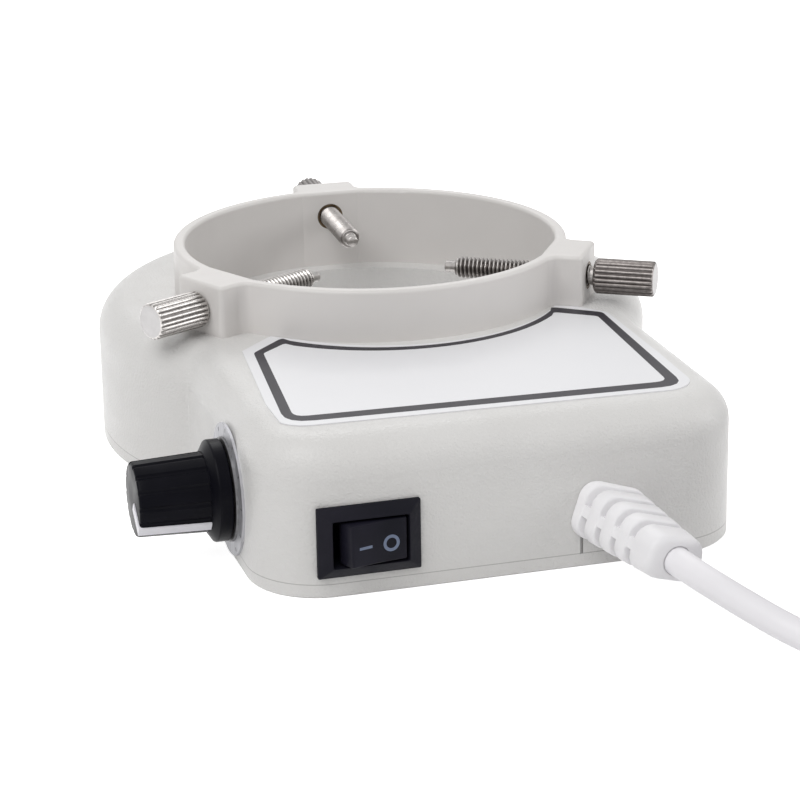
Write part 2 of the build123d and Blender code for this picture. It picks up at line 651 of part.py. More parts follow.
def lamp_board_screws():
    """Four screws up through the board into the housing's posts."""
    tip = LAMP_BOARD_BOTTOM + SCREW_LENGTH
    return [pan_screw(x, y, LAMP_BOARD_BOTTOM, tip) for x, y in lamp_post_places()]


# Label
def label_sheet():
    """The stuck-on label: it follows the collar, with cut shoulders and round lower corners."""
    corners = [
        LABEL_RIGHT_APEX,
        (BOX_HALF - LABEL_RIGHT_SHOULDER_INSET, LABEL_RIGHT_SHOULDER_Y),
        (BOX_HALF - LABEL_RIGHT_CORNER_INSET, FRONT + LABEL_RIGHT_CORNER_SETBACK),
        (LABEL_LEFT_CORNER_INSET - BOX_HALF, FRONT + LABEL_LEFT_CORNER_SETBACK),
        (LABEL_LEFT_SHOULDER_INSET - BOX_HALF, LABEL_LEFT_SHOULDER_Y),
        LABEL_LEFT_APEX,
    ]
    edges = [Line(start, end) for start, end in zip(corners, corners[1:])]
    edges.append(ThreePointArc(LABEL_LEFT_APEX, LABEL_ARC_MIDDLE, LABEL_RIGHT_APEX))
    sheet = make_face(Wire(edges))
    lower = sheet.vertices().filter_by(lambda v: v.Y < LABEL_ARC_MIDDLE[1] - LABEL_CORNER_RADIUS)
    sheet = fillet(lower, LABEL_CORNER_RADIUS) - offset(collar_plan(), SEAT_CLEARANCE)
    sheet &= offset(keyhole(), -TOP_EDGE_RADIUS)
    return prism(sheet, HOUSING_TOP, HOUSING_TOP + LABEL_THICKNESS)


# Dimmer
def dial_plate():
    """The round scale plate, flat on the housing's side."""
    plate = across_side(SIDE, SIDE - DIAL_THICKNESS, DIAL_RADIUS)
    hole = BUSHING_RADIUS + SEAT_CLEARANCE
    return plate - across_side(SIDE + CUT_OVERRUN, SIDE - DIAL_THICKNESS - CUT_OVERRUN, hole)


def dimmer_washer():
    """The bright washer between the scale plate and the nut."""
    face = SIDE - DIAL_THICKNESS
    washer = across_side(face, face - WASHER_THICKNESS, WASHER_RADIUS)
    hole = BUSHING_RADIUS + SEAT_CLEARANCE
    return washer - across_side(face + CUT_OVERRUN, face - WASHER_THICKNESS - CUT_OVERRUN, hole)


def dimmer_nut():
    """The hexagon nut that holds the potentiometer, hidden under the knob's skirt."""
    hexagon = RegularPolygon(NUT_WIDTH / 2, 6, major_radius=False) - Circle(BUSHING_RADIUS)
    start = Plane(origin=(NUT_BACK, DIMMER_Y, DIMMER_Z), x_dir=(0, 1, 0), z_dir=(-1, 0, 0))
    return extrude(start * hexagon, NUT_THICKNESS)


def potentiometer_body():
    """The hollow can behind the wall, with the bushing that passes through it."""
    front = SIDE + WALL
    back = front + POT_DEPTH
    can = across_side(front, back, POT_RADIUS)
    can -= across_side(front + POT_CAN_WALL, back - POT_CAN_WALL, POT_RADIUS - POT_CAN_WALL)
    can += across_side(front, SIDE - BUSHING_REACH, BUSHING_RADIUS)
    bore = SHAFT_RADIUS + RUNNING_CLEARANCE
    return can - across_side(front + POT_CAN_WALL, SIDE - BUSHING_REACH - CUT_OVERRUN, bore)


def potentiometer_shaft():
    """The round shaft, with the rotor that turns inside the can."""
    rotor_front = SIDE + WALL + POT_CAN_WALL + FREE_CLEARANCE
    shaft = across_side(rotor_front, SIDE - SHAFT_REACH, SHAFT_RADIUS)
    return shaft + across_side(rotor_front, rotor_front + ROTOR_THICKNESS, ROTOR_RADIUS)


def potentiometer_terminals():
    """Three flat tags from the can's side, one above the other."""
    x = POT_TAG_X
    half = POT_TAG_WIDTH / 2
    tags = []
    for z in pot_tag_heights():
        tag = slab(x, x + POT_TAG_THICKNESS, DIMMER_Y, POT_TAG_END, z - half, z + half)
        tags.append(tag - across_side(x - CUT_OVERRUN, x + CUT_OVERRUN, POT_RADIUS))
    return tags


def pot_tag_heights():
    """The heights of the potentiometer's three tags."""
    return [DIMMER_Z + i * POT_TAG_SPACING for i in (-1, 0, 1)]


def pointer_shape():
    """The white line along the knob's grip and over its end, before it is turned into place."""
    base = KNOB_BACK - KNOB_SKIRT_LENGTH - KNOB_SKIRT_CHAMFER
    outline = Polyline(
        (base, KNOB_GRIP_RADIUS - POINTER_DEPTH),
        (base, KNOB_GRIP_RADIUS + POINTER_STEP),
        (KNOB_END - POINTER_STEP, KNOB_END_RADIUS + POINTER_STEP),
        (KNOB_END - POINTER_STEP, POINTER_INNER_RADIUS),
        (KNOB_END + POINTER_DEPTH, POINTER_INNER_RADIUS),
        (KNOB_END + POINTER_DEPTH, KNOB_END_RADIUS - POINTER_DEPTH),
        close=True,
    )
    upright = Plane(origin=(0, POINTER_WIDTH / 2, 0), x_dir=(1, 0, 0), z_dir=(0, -1, 0))
    return extrude(upright * make_face(outline), POINTER_WIDTH)


def on_dimmer(shape, angle=0):
    """A shape about the X axis, turned clockwise as seen from outside and moved to the dimmer."""
    return Pos(0, DIMMER_Y, DIMMER_Z) * Rot(angle, 0, 0) * shape


def dimmer_knob():
    """The skirted knob with its fluted grip, hollow under the skirt for the nut."""
    base = KNOB_BACK - KNOB_SKIRT_LENGTH - KNOB_SKIRT_CHAMFER
    knob = turned([
        (KNOB_BACK, 0),
        (KNOB_BACK, KNOB_SKIRT_RADIUS),
        (KNOB_BACK - KNOB_SKIRT_LENGTH, KNOB_SKIRT_RADIUS),
        (base, KNOB_GRIP_RADIUS),
        (KNOB_END, KNOB_END_RADIUS),
        (KNOB_END, 0),
    ])
    knob = fillet(knob.edges().filter_by(GeomType.CIRCLE).sort_by(Axis.X)[0], KNOB_EDGE_RADIUS)
    taper = atan2(KNOB_GRIP_RADIUS - KNOB_END_RADIUS, base - KNOB_END)
    centre = (KNOB_GRIP_RADIUS + KNOB_END_RADIUS) / 2 + FLUTE_RADIUS - FLUTE_DEPTH
    length = base - KNOB_END + CUT_OVERRUN
    middle = base - length / 2
    cutter = Pos(middle, 0, centre) * Rot(0, 90 - taper * 180 / pi, 0) * Cylinder(FLUTE_RADIUS, length)
    for i in range(KNOB_FLUTES):
        knob -= Rot(360 * (i + 0.5) / KNOB_FLUTES + POINTER_ANGLE, 0, 0) * cutter
    knob = on_dimmer(knob)
    nut_end = NUT_BACK - NUT_THICKNESS
    hollow = KNOB_SKIRT_RADIUS - KNOB_SKIRT_WALL
    knob -= across_side(KNOB_BACK + CUT_OVERRUN, nut_end - FREE_CLEARANCE, hollow)
    bushing_end = SIDE - BUSHING_REACH - FREE_CLEARANCE
    knob -= across_side(KNOB_BACK, bushing_end, BUSHING_RADIUS + FREE_CLEARANCE)
    knob -= across_side(KNOB_BACK, SIDE - SHAFT_REACH, SHAFT_RADIUS)
    return knob - knob_pointer()


def knob_pointer():
    """The white line inlaid in the knob."""
    return on_dimmer(pointer_shape(), POINTER_ANGLE)


# Rocker switch
def on_switch(sketch, z0, z1):
    """A plan outline round the rocker's pivot, raised between two heights from the switch's axis."""
    return Pos(SWITCH_X, FRONT + ROCKER_PIVOT_DEPTH, SWITCH_Z) * prism(sketch, z0, z1)


def centred(width, height, y0, y1):
    """A box round the switch's axis between two depths."""
    left, low = SWITCH_X - width / 2, SWITCH_Z - height / 2
    return slab(left, left + width, y0, y1, low, low + height)


def switch_frame():
    """The bezel and the body behind it, one moulding that is open at the front."""
    bezel = centred(BEZEL_WIDTH, BEZEL_HEIGHT, FRONT - BEZEL_THICKNESS, FRONT)
    bezel = chamfer(bezel.edges().group_by(Axis.Y)[0], BEZEL_CHAMFER)
    frame = bezel + centred(SWITCH_BODY_WIDTH, SWITCH_BODY_HEIGHT, FRONT, SWITCH_BACK)
    front, back = FRONT - BEZEL_THICKNESS - CUT_OVERRUN, SWITCH_BACK - SWITCH_BACK_WALL
    frame -= centred(SWITCH_WINDOW_WIDTH, SWITCH_WINDOW_HEIGHT, front, back)
    reach = SWITCH_WINDOW_HEIGHT / 2 + PIVOT_LENGTH + SEAT_CLEARANCE
    frame -= on_switch(Circle(PIVOT_RADIUS + RUNNING_CLEARANCE), -reach, reach)
    for tag in switch_terminals():
        frame -= tag
    return frame


def switch_rocker():
    """The rocker with its pivots, tilted so that its right end is pressed in."""
    profile = Polyline(
        (-ROCKER_FRONT_HALF, -ROCKER_FRONT_REACH),
        (0, ROCKER_DISH - ROCKER_FRONT_REACH),
        (ROCKER_FRONT_HALF, -ROCKER_FRONT_REACH),
        (ROCKER_SIDE_HALF, -ROCKER_SIDE_REACH),
        (ROCKER_BACK_HALF, ROCKER_BACK_REACH),
        (-ROCKER_BACK_HALF, ROCKER_BACK_REACH),
        (-ROCKER_SIDE_HALF, -ROCKER_SIDE_REACH),
        close=True,
    )
    tilted = Rot(0, 0, ROCKER_TILT) * make_face(profile)
    rocker = on_switch(tilted, -ROCKER_HEIGHT / 2, ROCKER_HEIGHT / 2)
    reach = SWITCH_WINDOW_HEIGHT / 2 + PIVOT_LENGTH
    return rocker + on_switch(Circle(PIVOT_RADIUS), -reach, reach)


def switch_terminals():
    """Two flat tags through the switch's back."""
    half, low = SWITCH_TAG_THICKNESS / 2, SWITCH_Z - SWITCH_TAG_WIDTH / 2
    start = SWITCH_BACK - SWITCH_BACK_WALL - SWITCH_TAG_INNER
    end = SWITCH_BACK + SWITCH_TAG_LENGTH
    return [slab(x - half, x + half, start, end, low, low + SWITCH_TAG_WIDTH) for x in switch_tags()]


def switch_tags():
    """Where the switch's two tags stand, the left one first."""
    return [SWITCH_X - SWITCH_TAG_SPACING / 2, SWITCH_X + SWITCH_TAG_SPACING / 2]


# Driver board
def on_board(x, y, length, width, height, lift=0):
    """A block on the driver board."""
    low = DRIVER_TOP + lift
    return slab(x - length / 2, x + length / 2, y - width / 2, y + width / 2, low, low + height)


def place_on_board(shares):
    """The middle and the size in plan of a place on the driver board."""
    x, y, length, width = shares
    middle = (DRIVER_X + x * DRIVER_LENGTH, DRIVER_Y + y * DRIVER_WIDTH)
    return *middle, length * DRIVER_LENGTH, width * DRIVER_WIDTH


def round_place(shares):
    """The middle of a place on the driver board and the radius that fits in it."""
    x, y, length, width = place_on_board(shares)
    return x, y, min(length, width) / 2


def driver_board():
    """The plate that carries the power parts, held by two screws."""
    board = on_board(DRIVER_X, DRIVER_Y, DRIVER_LENGTH, DRIVER_WIDTH, BOARD_THICKNESS, -BOARD_THICKNESS)
    for x, y in driver_screw_places():
        board -= disc(SCREW_RADIUS + SEAT_CLEARANCE, 0, HOUSING_TOP, x, y)
    return board


def driver_board_screws():
    """Two screws down through the board into the cover's posts."""
    return [pan_screw(x, y, DRIVER_TOP, DRIVER_TOP - SCREW_LENGTH) for x, y in driver_screw_places()]


def on_transformer(length, width, height, lift=0):
    """A block on the transformer's place."""
    x, y, _, _ = place_on_board(TRANSFORMER_SHARES)
    return on_board(x, y, length, width, height, lift)


def transformer_size():
    """The transformer's length and width, and the depth of its core."""
    _, _, length, width = place_on_board(TRANSFORMER_SHARES)
    return length, width, width * CORE_DEPTH_SHARE


def transformer_room():
    """The length and height inside the core's windows."""
    length, _, _ = transformer_size()
    return length - TRANSFORMER_LIMB, TRANSFORMER_HEIGHT - TRANSFORMER_LIMB


def transformer_core():
    """The ferrite core: a frame with a middle limb."""
    length, width, depth = transformer_size()
    inner_length, inner_height = transformer_room()
    yoke = TRANSFORMER_LIMB / 2
    core = on_transformer(length, depth, TRANSFORMER_HEIGHT)
    window = on_transformer(inner_length, width, inner_height, yoke)
    return core - (window - on_transformer(TRANSFORMER_LIMB, depth, inner_height, yoke))


def transformer_bobbin():
    """The bobbin's sleeve round the middle limb and its two flanges."""
    _, width, depth = transformer_size()
    length, height = transformer_room()
    low = TRANSFORMER_LIMB / 2
    across = length - 2 * SEAT_CLEARANCE
    flange = on_transformer(across, width, BOBBIN_FLANGE, low)
    flange += on_transformer(across, width, BOBBIN_FLANGE, low + height - BOBBIN_FLANGE)
    sleeve_length = TRANSFORMER_LIMB + 2 * BOBBIN_FLANGE
    sleeve = on_transformer(sleeve_length, depth + 2 * BOBBIN_FLANGE, height, low)
    return flange + sleeve - on_transformer(TRANSFORMER_LIMB, depth, height, low)


def transformer_winding():
    """The taped winding between the bobbin's flanges."""
    _, width, depth = transformer_size()
    length, height = transformer_room()
    low = TRANSFORMER_LIMB / 2 + BOBBIN_FLANGE
    inset = 2 * (SEAT_CLEARANCE + CHIP_EDGE)
    tall = height - 2 * BOBBIN_FLANGE
    winding = on_transformer(length - inset, width - inset, tall, low)
    sleeve = TRANSFORMER_LIMB + 2 * BOBBIN_FLANGE
    return winding - on_transformer(sleeve, depth + 2 * BOBBIN_FLANGE, tall, low)


def capacitor(x, y, radius, height):
    """An upright can with a rolled groove and a rubber seat."""
    seat = DRIVER_TOP + CAPACITOR_SEAT
    groove = seat + 2 * CAPACITOR_SEAT
    can = disc(radius - CAPACITOR_GROOVE, DRIVER_TOP, seat, x, y)
    can += disc(radius, seat, DRIVER_TOP + height, x, y)
    waist = disc(radius + CUT_OVERRUN, groove, groove + CAPACITOR_SEAT, x, y)
    can -= waist - disc(radius - CAPACITOR_GROOVE, groove, groove + CAPACITOR_SEAT, x, y)
    return chamfer(can.edges().group_by(Axis.Z)[-1], CAPACITOR_GROOVE)


def bulk_capacitor():
    """The larger capacitor, for the rectified mains."""
    return capacitor(*round_place(BULK_CAPACITOR_SHARES), BULK_CAPACITOR_HEIGHT)


def output_capacitor():
    """The smaller capacitor, for the lamps' supply."""
    return capacitor(*round_place(OUTPUT_CAPACITOR_SHARES), OUTPUT_CAPACITOR_HEIGHT)


def choke():
    """A drum-shaped choke."""
    x, y, radius = round_place(CHOKE_SHARES)
    top = DRIVER_TOP + CHOKE_HEIGHT
    drum = disc(radius - CHOKE_GROOVE, DRIVER_TOP, top, x, y)
    drum += disc(radius, DRIVER_TOP, DRIVER_TOP + CHOKE_FLANGE, x, y)
    return drum + disc(radius, top - CHOKE_FLANGE, top, x, y)


def fuse_size():
    """Half of the fuse's length and the radius of its tube."""
    _, _, length, width = place_on_board(FUSE_SHARES)
    return length / 2, width / 2


def fuse_part(x0, x1, radius):
    """A cylinder on the fuse's axis, between two distances from its middle."""
    x, y, _, _ = place_on_board(FUSE_SHARES)
    _, tube_radius = fuse_size()
    return across_side(x + x0, x + x1, radius, y, DRIVER_TOP + tube_radius + FUSE_CAP_STEP)


def fuse_tube():
    """The glass tube of the fuse."""
    half, radius = fuse_size()
    half -= FUSE_CAP_STEP
    tube = fuse_part(-half, half, radius)
    return tube - fuse_part(-half - CUT_OVERRUN, half + CUT_OVERRUN, radius - 2 * FUSE_CAP_STEP)


def fuse_caps():
    """The two metal caps over the tube's ends."""
    half, radius = fuse_size()
    caps = []
    for side in (-1, 1):
        cap = fuse_part(side * half, side * (half - FUSE_CAP_LENGTH), radius + FUSE_CAP_STEP)
        caps.append(cap - fuse_part(side * (half - FUSE_CAP_STEP), 0, radius))
    return caps


def chip(shares, height):
    """A block on its place on the board, with its top edges cut."""
    block = on_board(*place_on_board(shares), height)
    return chamfer(block.edges().group_by(Axis.Z)[-1], CHIP_EDGE)


def rectifier():
    """The bridge rectifier."""
    return chip(RECTIFIER_SHARES, RECTIFIER_HEIGHT)


def controller():
    """The flat control chip."""
    return chip(CONTROLLER_SHARES, CONTROLLER_HEIGHT)


def lead_socket():
    """The socket for the leads of the dimmer and the lamps."""
    return chip(SOCKET_SHARES, SOCKET_HEIGHT)


def socket_ways():
    """Where the leads enter the socket, from the left."""
    x, y, length, _ = place_on_board(SOCKET_SHARES)
    middle = (SOCKET_WAYS - 1) / 2
    spacing = length * SOCKET_SPACING_SHARE
    return [(x + (i - middle) * spacing, y) for i in range(SOCKET_WAYS)]


# Leads inside the housing
def mains_leads():
    """From the cord to the switch, from the switch to the board, and from the cord to the board."""
    cord_x = RELIEF_X - CORE_SPACING / 2
    ahead = CORD_INNER_END + 1.5 * LEAD_BEND_RADIUS
    gap_x = DRIVER_LEFT - 2 * LEAD_BEND_RADIUS
    left, right = [x + SWITCH_TAG_THICKNESS / 2 for x in switch_tags()]
    tag_y = SWITCH_BACK + SWITCH_TAG_LENGTH / 2
    live = [
        (cord_x, CORD_INNER_END, RELIEF_Z),
        (cord_x, ahead, RELIEF_Z),
        (gap_x, ahead, SWITCH_Z),
        (gap_x, tag_y, SWITCH_Z),
        (right, tag_y, SWITCH_Z),
    ]
    behind = SWITCH_BACK + SWITCH_TAG_LENGTH + 2 * LEAD_BEND_RADIUS
    pad_x = DRIVER_LEFT + LEAD_BEND_RADIUS
    high = SWITCH_Z + LEAD_BEND_RADIUS
    switched = [
        (left, tag_y, SWITCH_Z),
        (SWITCH_X, tag_y, SWITCH_Z),
        (SWITCH_X, behind, high),
        (pad_x, behind, high),
        (pad_x, behind, DRIVER_TOP),
    ]
    back_x = RELIEF_X + CORE_SPACING / 2
    pad_y = CORD_INNER_END + 3 * LEAD_BEND_RADIUS
    neutral = [
        (back_x, CORD_INNER_END, RELIEF_Z),
        (back_x, pad_y, RELIEF_Z),
        (back_x, pad_y, DRIVER_TOP),
    ]
    return [lead(route, [LEAD_BEND_RADIUS] * (len(route) - 2)) for route in (live, switched, neutral)]


def dimmer_leads():
    """From the potentiometer's tags to the first three ways of the socket."""
    start_x = POT_TAG_X + POT_TAG_THICKNESS
    start_y = POT_TAG_END - POT_TAG_WIDTH
    turn_x = start_x + POT_TAG_LENGTH
    meet_x = DRIVER_LEFT - POT_TAG_LENGTH
    leads = []
    for i, z in enumerate(pot_tag_heights()):
        height = SOCKET_TOP + 2 * LEAD_BEND_RADIUS + i * LEAD_STEP
        way_x, way_y = socket_ways()[i]
        route = [
            (start_x, start_y, z),
            (turn_x, start_y, z),
            (meet_x, way_y, height),
            (way_x, way_y, height),
            (way_x, way_y, SOCKET_TOP),
        ]
        leads.append(lead(route, [LEAD_BEND_RADIUS] * (len(route) - 2)))
    return leads


def lamp_leads():
    """From the lamp board up and over to the last two ways of the socket."""
    board_y = -(LAMP_BOARD_OUTER_RADIUS - 2 * LEAD_BEND_RADIUS)
    high = SOCKET_TOP + LEAD_ARCH
    leads = []
    for x, y in socket_ways()[-2:]:
        route = [
            (x, board_y, LAMP_BOARD_TOP),
            (x, board_y, high),
            (x, y, high),
            (x, y, SOCKET_TOP),
        ]
        leads.append(lead(route, [LEAD_BEND_RADIUS] * (len(route) - 2)))
    return leads


# Strain relief
def relief_way():
    """The way the strain relief points: out, a little to the right and down."""
    yaw, droop = radians(RELIEF_YAW), radians(RELIEF_DROOP)
    return Vector(sin(yaw) * cos(droop), -cos(yaw) * cos(droop), -sin(droop))


def relief_point(distance):
    """A point on the strain relief's axis, at a distance from the housing."""
    return Vector(RELIEF_X, FRONT, RELIEF_Z) + relief_way() * distance


def relief_plane(distance, way=None):
    """A plane across the strain relief, rolled with it."""
    roll = radians(RELIEF_ROLL)
    across = (cos(roll), 0, sin(roll))
    return Plane(origin=relief_point(distance), x_dir=across, z_dir=way or relief_way())


def strain_relief():
    """The tapered, slotted sleeve with its neck through the wall and its flange inside."""
    base = relief_plane(0, (0, -1, 0)) * relief_section(RELIEF_BASE_WIDTH, RELIEF_BASE_HEIGHT)
    tip = relief_plane(RELIEF_LENGTH) * relief_section(RELIEF_TIP_WIDTH, RELIEF_TIP_HEIGHT)
    relief = loft([base, tip])
    for i in range(RELIEF_SLOTS):
        relief -= relief_slot(RELIEF_FIRST_SLOT + i * RELIEF_SLOT_SPACING)
    inside = FRONT + WALL
    relief += round_through(FRONT, inside, RELIEF_NECK_RADIUS)
    return relief + round_through(inside, RELIEF_INNER_FACE, RELIEF_FLANGE_RADIUS)


def relief_section(width, height):
    """The strain relief's section, a rectangle with round corners."""
    return RectangleRounded(width, height, RELIEF_CORNER_RADIUS)


def relief_slot(distance):
    """One slot all round, but for a web at each side and the core round the cord."""
    wide = 2 * RELIEF_BASE_WIDTH
    block = Box(wide, wide, RELIEF_SLOT_WIDTH)
    block -= Box(2 * wide, RELIEF_WEB, wide)
    block -= Cylinder(CORD_RADIUS + RELIEF_CORE_WALL, wide)
    return relief_plane(distance).location * block


def round_through(y0, y1, radius):
    """A cylinder along Y on the strain relief's hole, between two depths."""
    lying = Cylinder(radius, abs(y1 - y0), rotation=(90, 0, 0))
    return Pos(RELIEF_X, (y0 + y1) / 2, RELIEF_Z) * lying


def cord_inner_end():
    """The short end of the cord's sheath inside the box."""
    return round_through(RELIEF_INNER_FACE, CORD_INNER_END, CORD_RADIUS)


# Cord outside the housing
def coil_point(radius, angle, z):
    """A point on the coil's plan circle."""
    turn = radians(angle)
    return Vector(COIL_X + radius * cos(turn), COIL_Y + radius * sin(turn), z)


def coil_heading(angle):
    """The way the cord runs at an angle of the coil, which is wound counterclockwise."""
    turn = radians(angle)
    return Vector(-sin(turn), cos(turn), 0)


def coil_arcs():
    """Half turns in and out again, each with its start, end and height at both ends.

    A half turn at even places has its middle on the coil's axis, and one at odd places runs from one
    of those circles to the next. Every second layer runs outwards. The half turn where the spiral
    reverses keeps its radius and climbs a layer.
    """
    rings = [COIL_RADIUS - i * COIL_PITCH for i in range(COIL_STEPS + 1)]
    order = rings[:]
    for layer in range(1, COIL_LAYERS):
        order += (rings[::-1] if layer % 2 else rings)[1:]
    arcs = []
    z = COIL_BASE
    for i, radius in enumerate(order):
        climbs = 0 < i < len(order) - 1 and i % COIL_STEPS == 0
        last = i == len(order) - 1
        sweep_angle = COIL_LAST_ARC if last else 180
        top = z + COIL_PITCH if climbs else z
        start = coil_point(radius, COIL_ANGLE, z)
        end = coil_point(radius, COIL_ANGLE + sweep_angle, top)
        middle = half_turn_middle(start, end, radius, COIL_ANGLE + sweep_angle / 2)
        arcs.append((start, middle, end))
        z = top
        if not last:
            across = (radius + order[i + 1]) / 2
            shift = (radius - order[i + 1]) / 2
            near = coil_point(order[i + 1], COIL_ANGLE, z)
            side = coil_heading(COIL_ANGLE + 90) * shift
            middle = coil_point(0, 0, z) + side + coil_heading(COIL_ANGLE + 180) * across
            arcs.append((end, middle, near))
    return arcs


def half_turn_middle(start, end, radius, angle):
    """The middle of an arc that leans with its climb, so that both of its ends stay level."""
    centre = coil_point(0, 0, (start.Z + end.Z) / 2)
    lean = hypot(radius, (end.Z - start.Z) / 2)
    turn = radians(angle)
    return centre + Vector(cos(turn), sin(turn), 0) * lean


def coil_path():
    """The coil's line: a short straight run, the arcs and another short straight run."""
    arcs = coil_arcs()
    first, last = arcs[0][0], arcs[-1][2]
    straight = 2 * CORD_RADIUS
    before = first - coil_heading(COIL_ANGLE) * straight
    after = last + coil_heading(COIL_ANGLE + COIL_LAST_ARC) * straight
    edges = [Line(before, first)]
    edges += [ThreePointArc(a, b, c) for a, b, c in arcs]
    edges.append(Line(last, after))
    return Wire(edges)


def cord_coil():
    """The put-away cord: one unbroken tube in flat layers."""
    path = coil_path()
    start = Plane(origin=path @ 0, z_dir=path % 0)
    return sweep(start * Circle(CORD_RADIUS), path)


def coil_gap():
    """The least gap between the coil's turns, measured on points along it."""
    points = []
    length = 0
    for arc in coil_arcs():
        edge = ThreePointArc(*arc)
        for i in range(COIL_SAMPLES):
            points.append((length + edge.length * i / COIL_SAMPLES, edge @ (i / COIL_SAMPLES)))
        length += edge.length
    apart = pi * COIL_RADIUS / 2
    plain = [(s, p.X, p.Y, p.Z) for s, p in points]
    least = None
    for i, (s, x, y, z) in enumerate(plain):
        for t, u, v, w in plain[i + 1:]:
            if t - s > apart:
                distance = (x - u) ** 2 + (y - v) ** 2 + (z - w) ** 2
                least = distance if least is None else min(least, distance)
    return sqrt(least) - 2 * CORD_RADIUS


def first_route():
    """From the strain relief, falling, to the coil."""
    coil_start = coil_path() @ 0
    return [
        relief_point(RELIEF_LENGTH),
        relief_point(RELIEF_LENGTH + CORD_FIRST_RUN),
        Vector(*CORD_FALL),
        coil_start - coil_heading(COIL_ANGLE) * CORD_LAST_RUN,
        coil_start,
    ]


def end_route():
    """From the coil down to the plug's strain relief."""
    return [coil_path() @ 1] + [Vector(*point) for point in CORD_END_ROUTE]


def bend_radii(points):
    """The largest arc that each corner's two runs allow."""
    radii = []
    for before, corner, after in zip(points, points[1:], points[2:]):
        turn = radians((corner - before).get_angle(after - corner))
        shorter = min((corner - before).length, (after - corner).length)
        radii.append(CORNER_SHARE * shorter / tan(turn / 2))
    return radii


def cord_tube(name, points):
    """A tube along a free stretch of cord."""
    radii = bend_radii(points)
    path = FilletPolyline(*points, radius=radii)
    start = Plane(origin=path @ 0, z_dir=path % 0)
    tube = sweep(start * Circle(CORD_RADIUS), path)
    ideal = pi * CORD_RADIUS**2 * path.length
    print(f"{name}: length {path.length:.1f}, radii {[round(r, 1) for r in radii]},"
          f" volume {tube.volume:.1f} of {ideal:.1f}")
    return tube


def cord_tie():
    """A strap round the coil's section, midway between its climbs, with a small head outside."""
    turns_out = COIL_RADIUS - COIL_PITCH / 2 + CORD_RADIUS
    turns_in = COIL_RADIUS - (2 * COIL_STEPS - 1) * COIL_PITCH / 2 - CORD_RADIUS
    inner, outer = turns_in - TIE_SIDE_SLACK, turns_out + TIE_SIDE_SLACK
    low = TIE_THICKNESS
    high = COIL_BASE + (COIL_LAYERS - 1) * COIL_PITCH + CORD_RADIUS + TIE_SLACK
    width, height = outer - inner, high - low
    hole = RectangleRounded(width, height, CORD_RADIUS)
    wide, tall = width + 2 * TIE_THICKNESS, height + 2 * TIE_THICKNESS
    band = RectangleRounded(wide, tall, CORD_RADIUS + TIE_THICKNESS)
    centre = ((inner + outer) / 2, TIE_WIDTH / 2, (low + high) / 2)
    upright = Plane(origin=centre, x_dir=(1, 0, 0), z_dir=(0, -1, 0))
    strap = extrude(upright * (band - hole), TIE_WIDTH)
    head = Box(TIE_HEAD - 2 * TIE_THICKNESS, TIE_HEAD, TIE_HEAD)
    head = Pos(outer + TIE_THICKNESS + TIE_HEAD / 2 - TIE_THICKNESS, 0, (low + high) / 2) * head
    return Pos(COIL_X, COIL_Y, 0) * Rot(0, 0, COIL_ANGLE - 90) * (strap + head)


# Plug
def plug_place():
    """Where the cord enters the plug, and the way it runs there."""
    route = end_route()
    return route[-1], (route[-1] - route[-2]).normalized()


def plug_frame(distance):
    """A plane across the plug at a distance from where the cord enters."""
    point, way = plug_place()
    return Plane(origin=point + way * distance, x_dir=(-way.Y, way.X, 0), z_dir=way)


def plug_body():
    """The moulded plug with its ringed strain relief."""
    tip = plug_frame(0) * Circle(PLUG_RELIEF_TIP_RADIUS)
    neck = loft([tip, plug_frame(PLUG_RELIEF_LENGTH) * Circle(PLUG_RELIEF_RADIUS)])
    step = PLUG_RELIEF_LENGTH / (PLUG_RELIEF_RINGS + 1)
    for i in range(PLUG_RELIEF_RINGS):
        groove = Cylinder(2 * PLUG_RELIEF_RADIUS, PLUG_RING_WIDTH)
        groove -= Cylinder(PLUG_RELIEF_TIP_RADIUS - PLUG_RING_DEPTH / 2, PLUG_RING_WIDTH)
        neck -= plug_frame((i + 1) * step).location * groove
    start = PLUG_RELIEF_LENGTH
    nose = start + PLUG_NOSE_LENGTH
    sections = [
        plug_frame(start) * RectangleRounded(PLUG_NOSE_WIDTH, PLUG_NOSE_HEIGHT, PLUG_CORNER_RADIUS),
        plug_frame(nose) * RectangleRounded(PLUG_WIDTH, PLUG_HEIGHT, PLUG_CORNER_RADIUS),
    ]
    body = loft(sections, ruled=True)
    body += extrude(sections[1], PLUG_LENGTH - PLUG_NOSE_LENGTH)
    return neck + body


def plug_blades():
    """The two flat blades, each with a hole near its end."""
    start = plug_frame(PLUG_RELIEF_LENGTH + PLUG_LENGTH).location
    blades = []
    for side in (-1, 1):
        upward = (Align.CENTER, Align.CENTER, Align.MIN)
        blade = Box(BLADE_THICKNESS, BLADE_WIDTH, BLADE_LENGTH, align=upward)
        blade = chamfer(blade.edges().group_by(Axis.Z)[-1], BLADE_THICKNESS / 4)
        hole = Cylinder(BLADE_HOLE_RADIUS, BLADE_WIDTH, rotation=(0, 90, 0))
        hole = Pos(0, 0, BLADE_LENGTH - BLADE_HOLE_INSET) * hole
        blades.append(start * Pos(side * BLADE_SPACING / 2, 0, 0) * (blade - hole))
    return blades


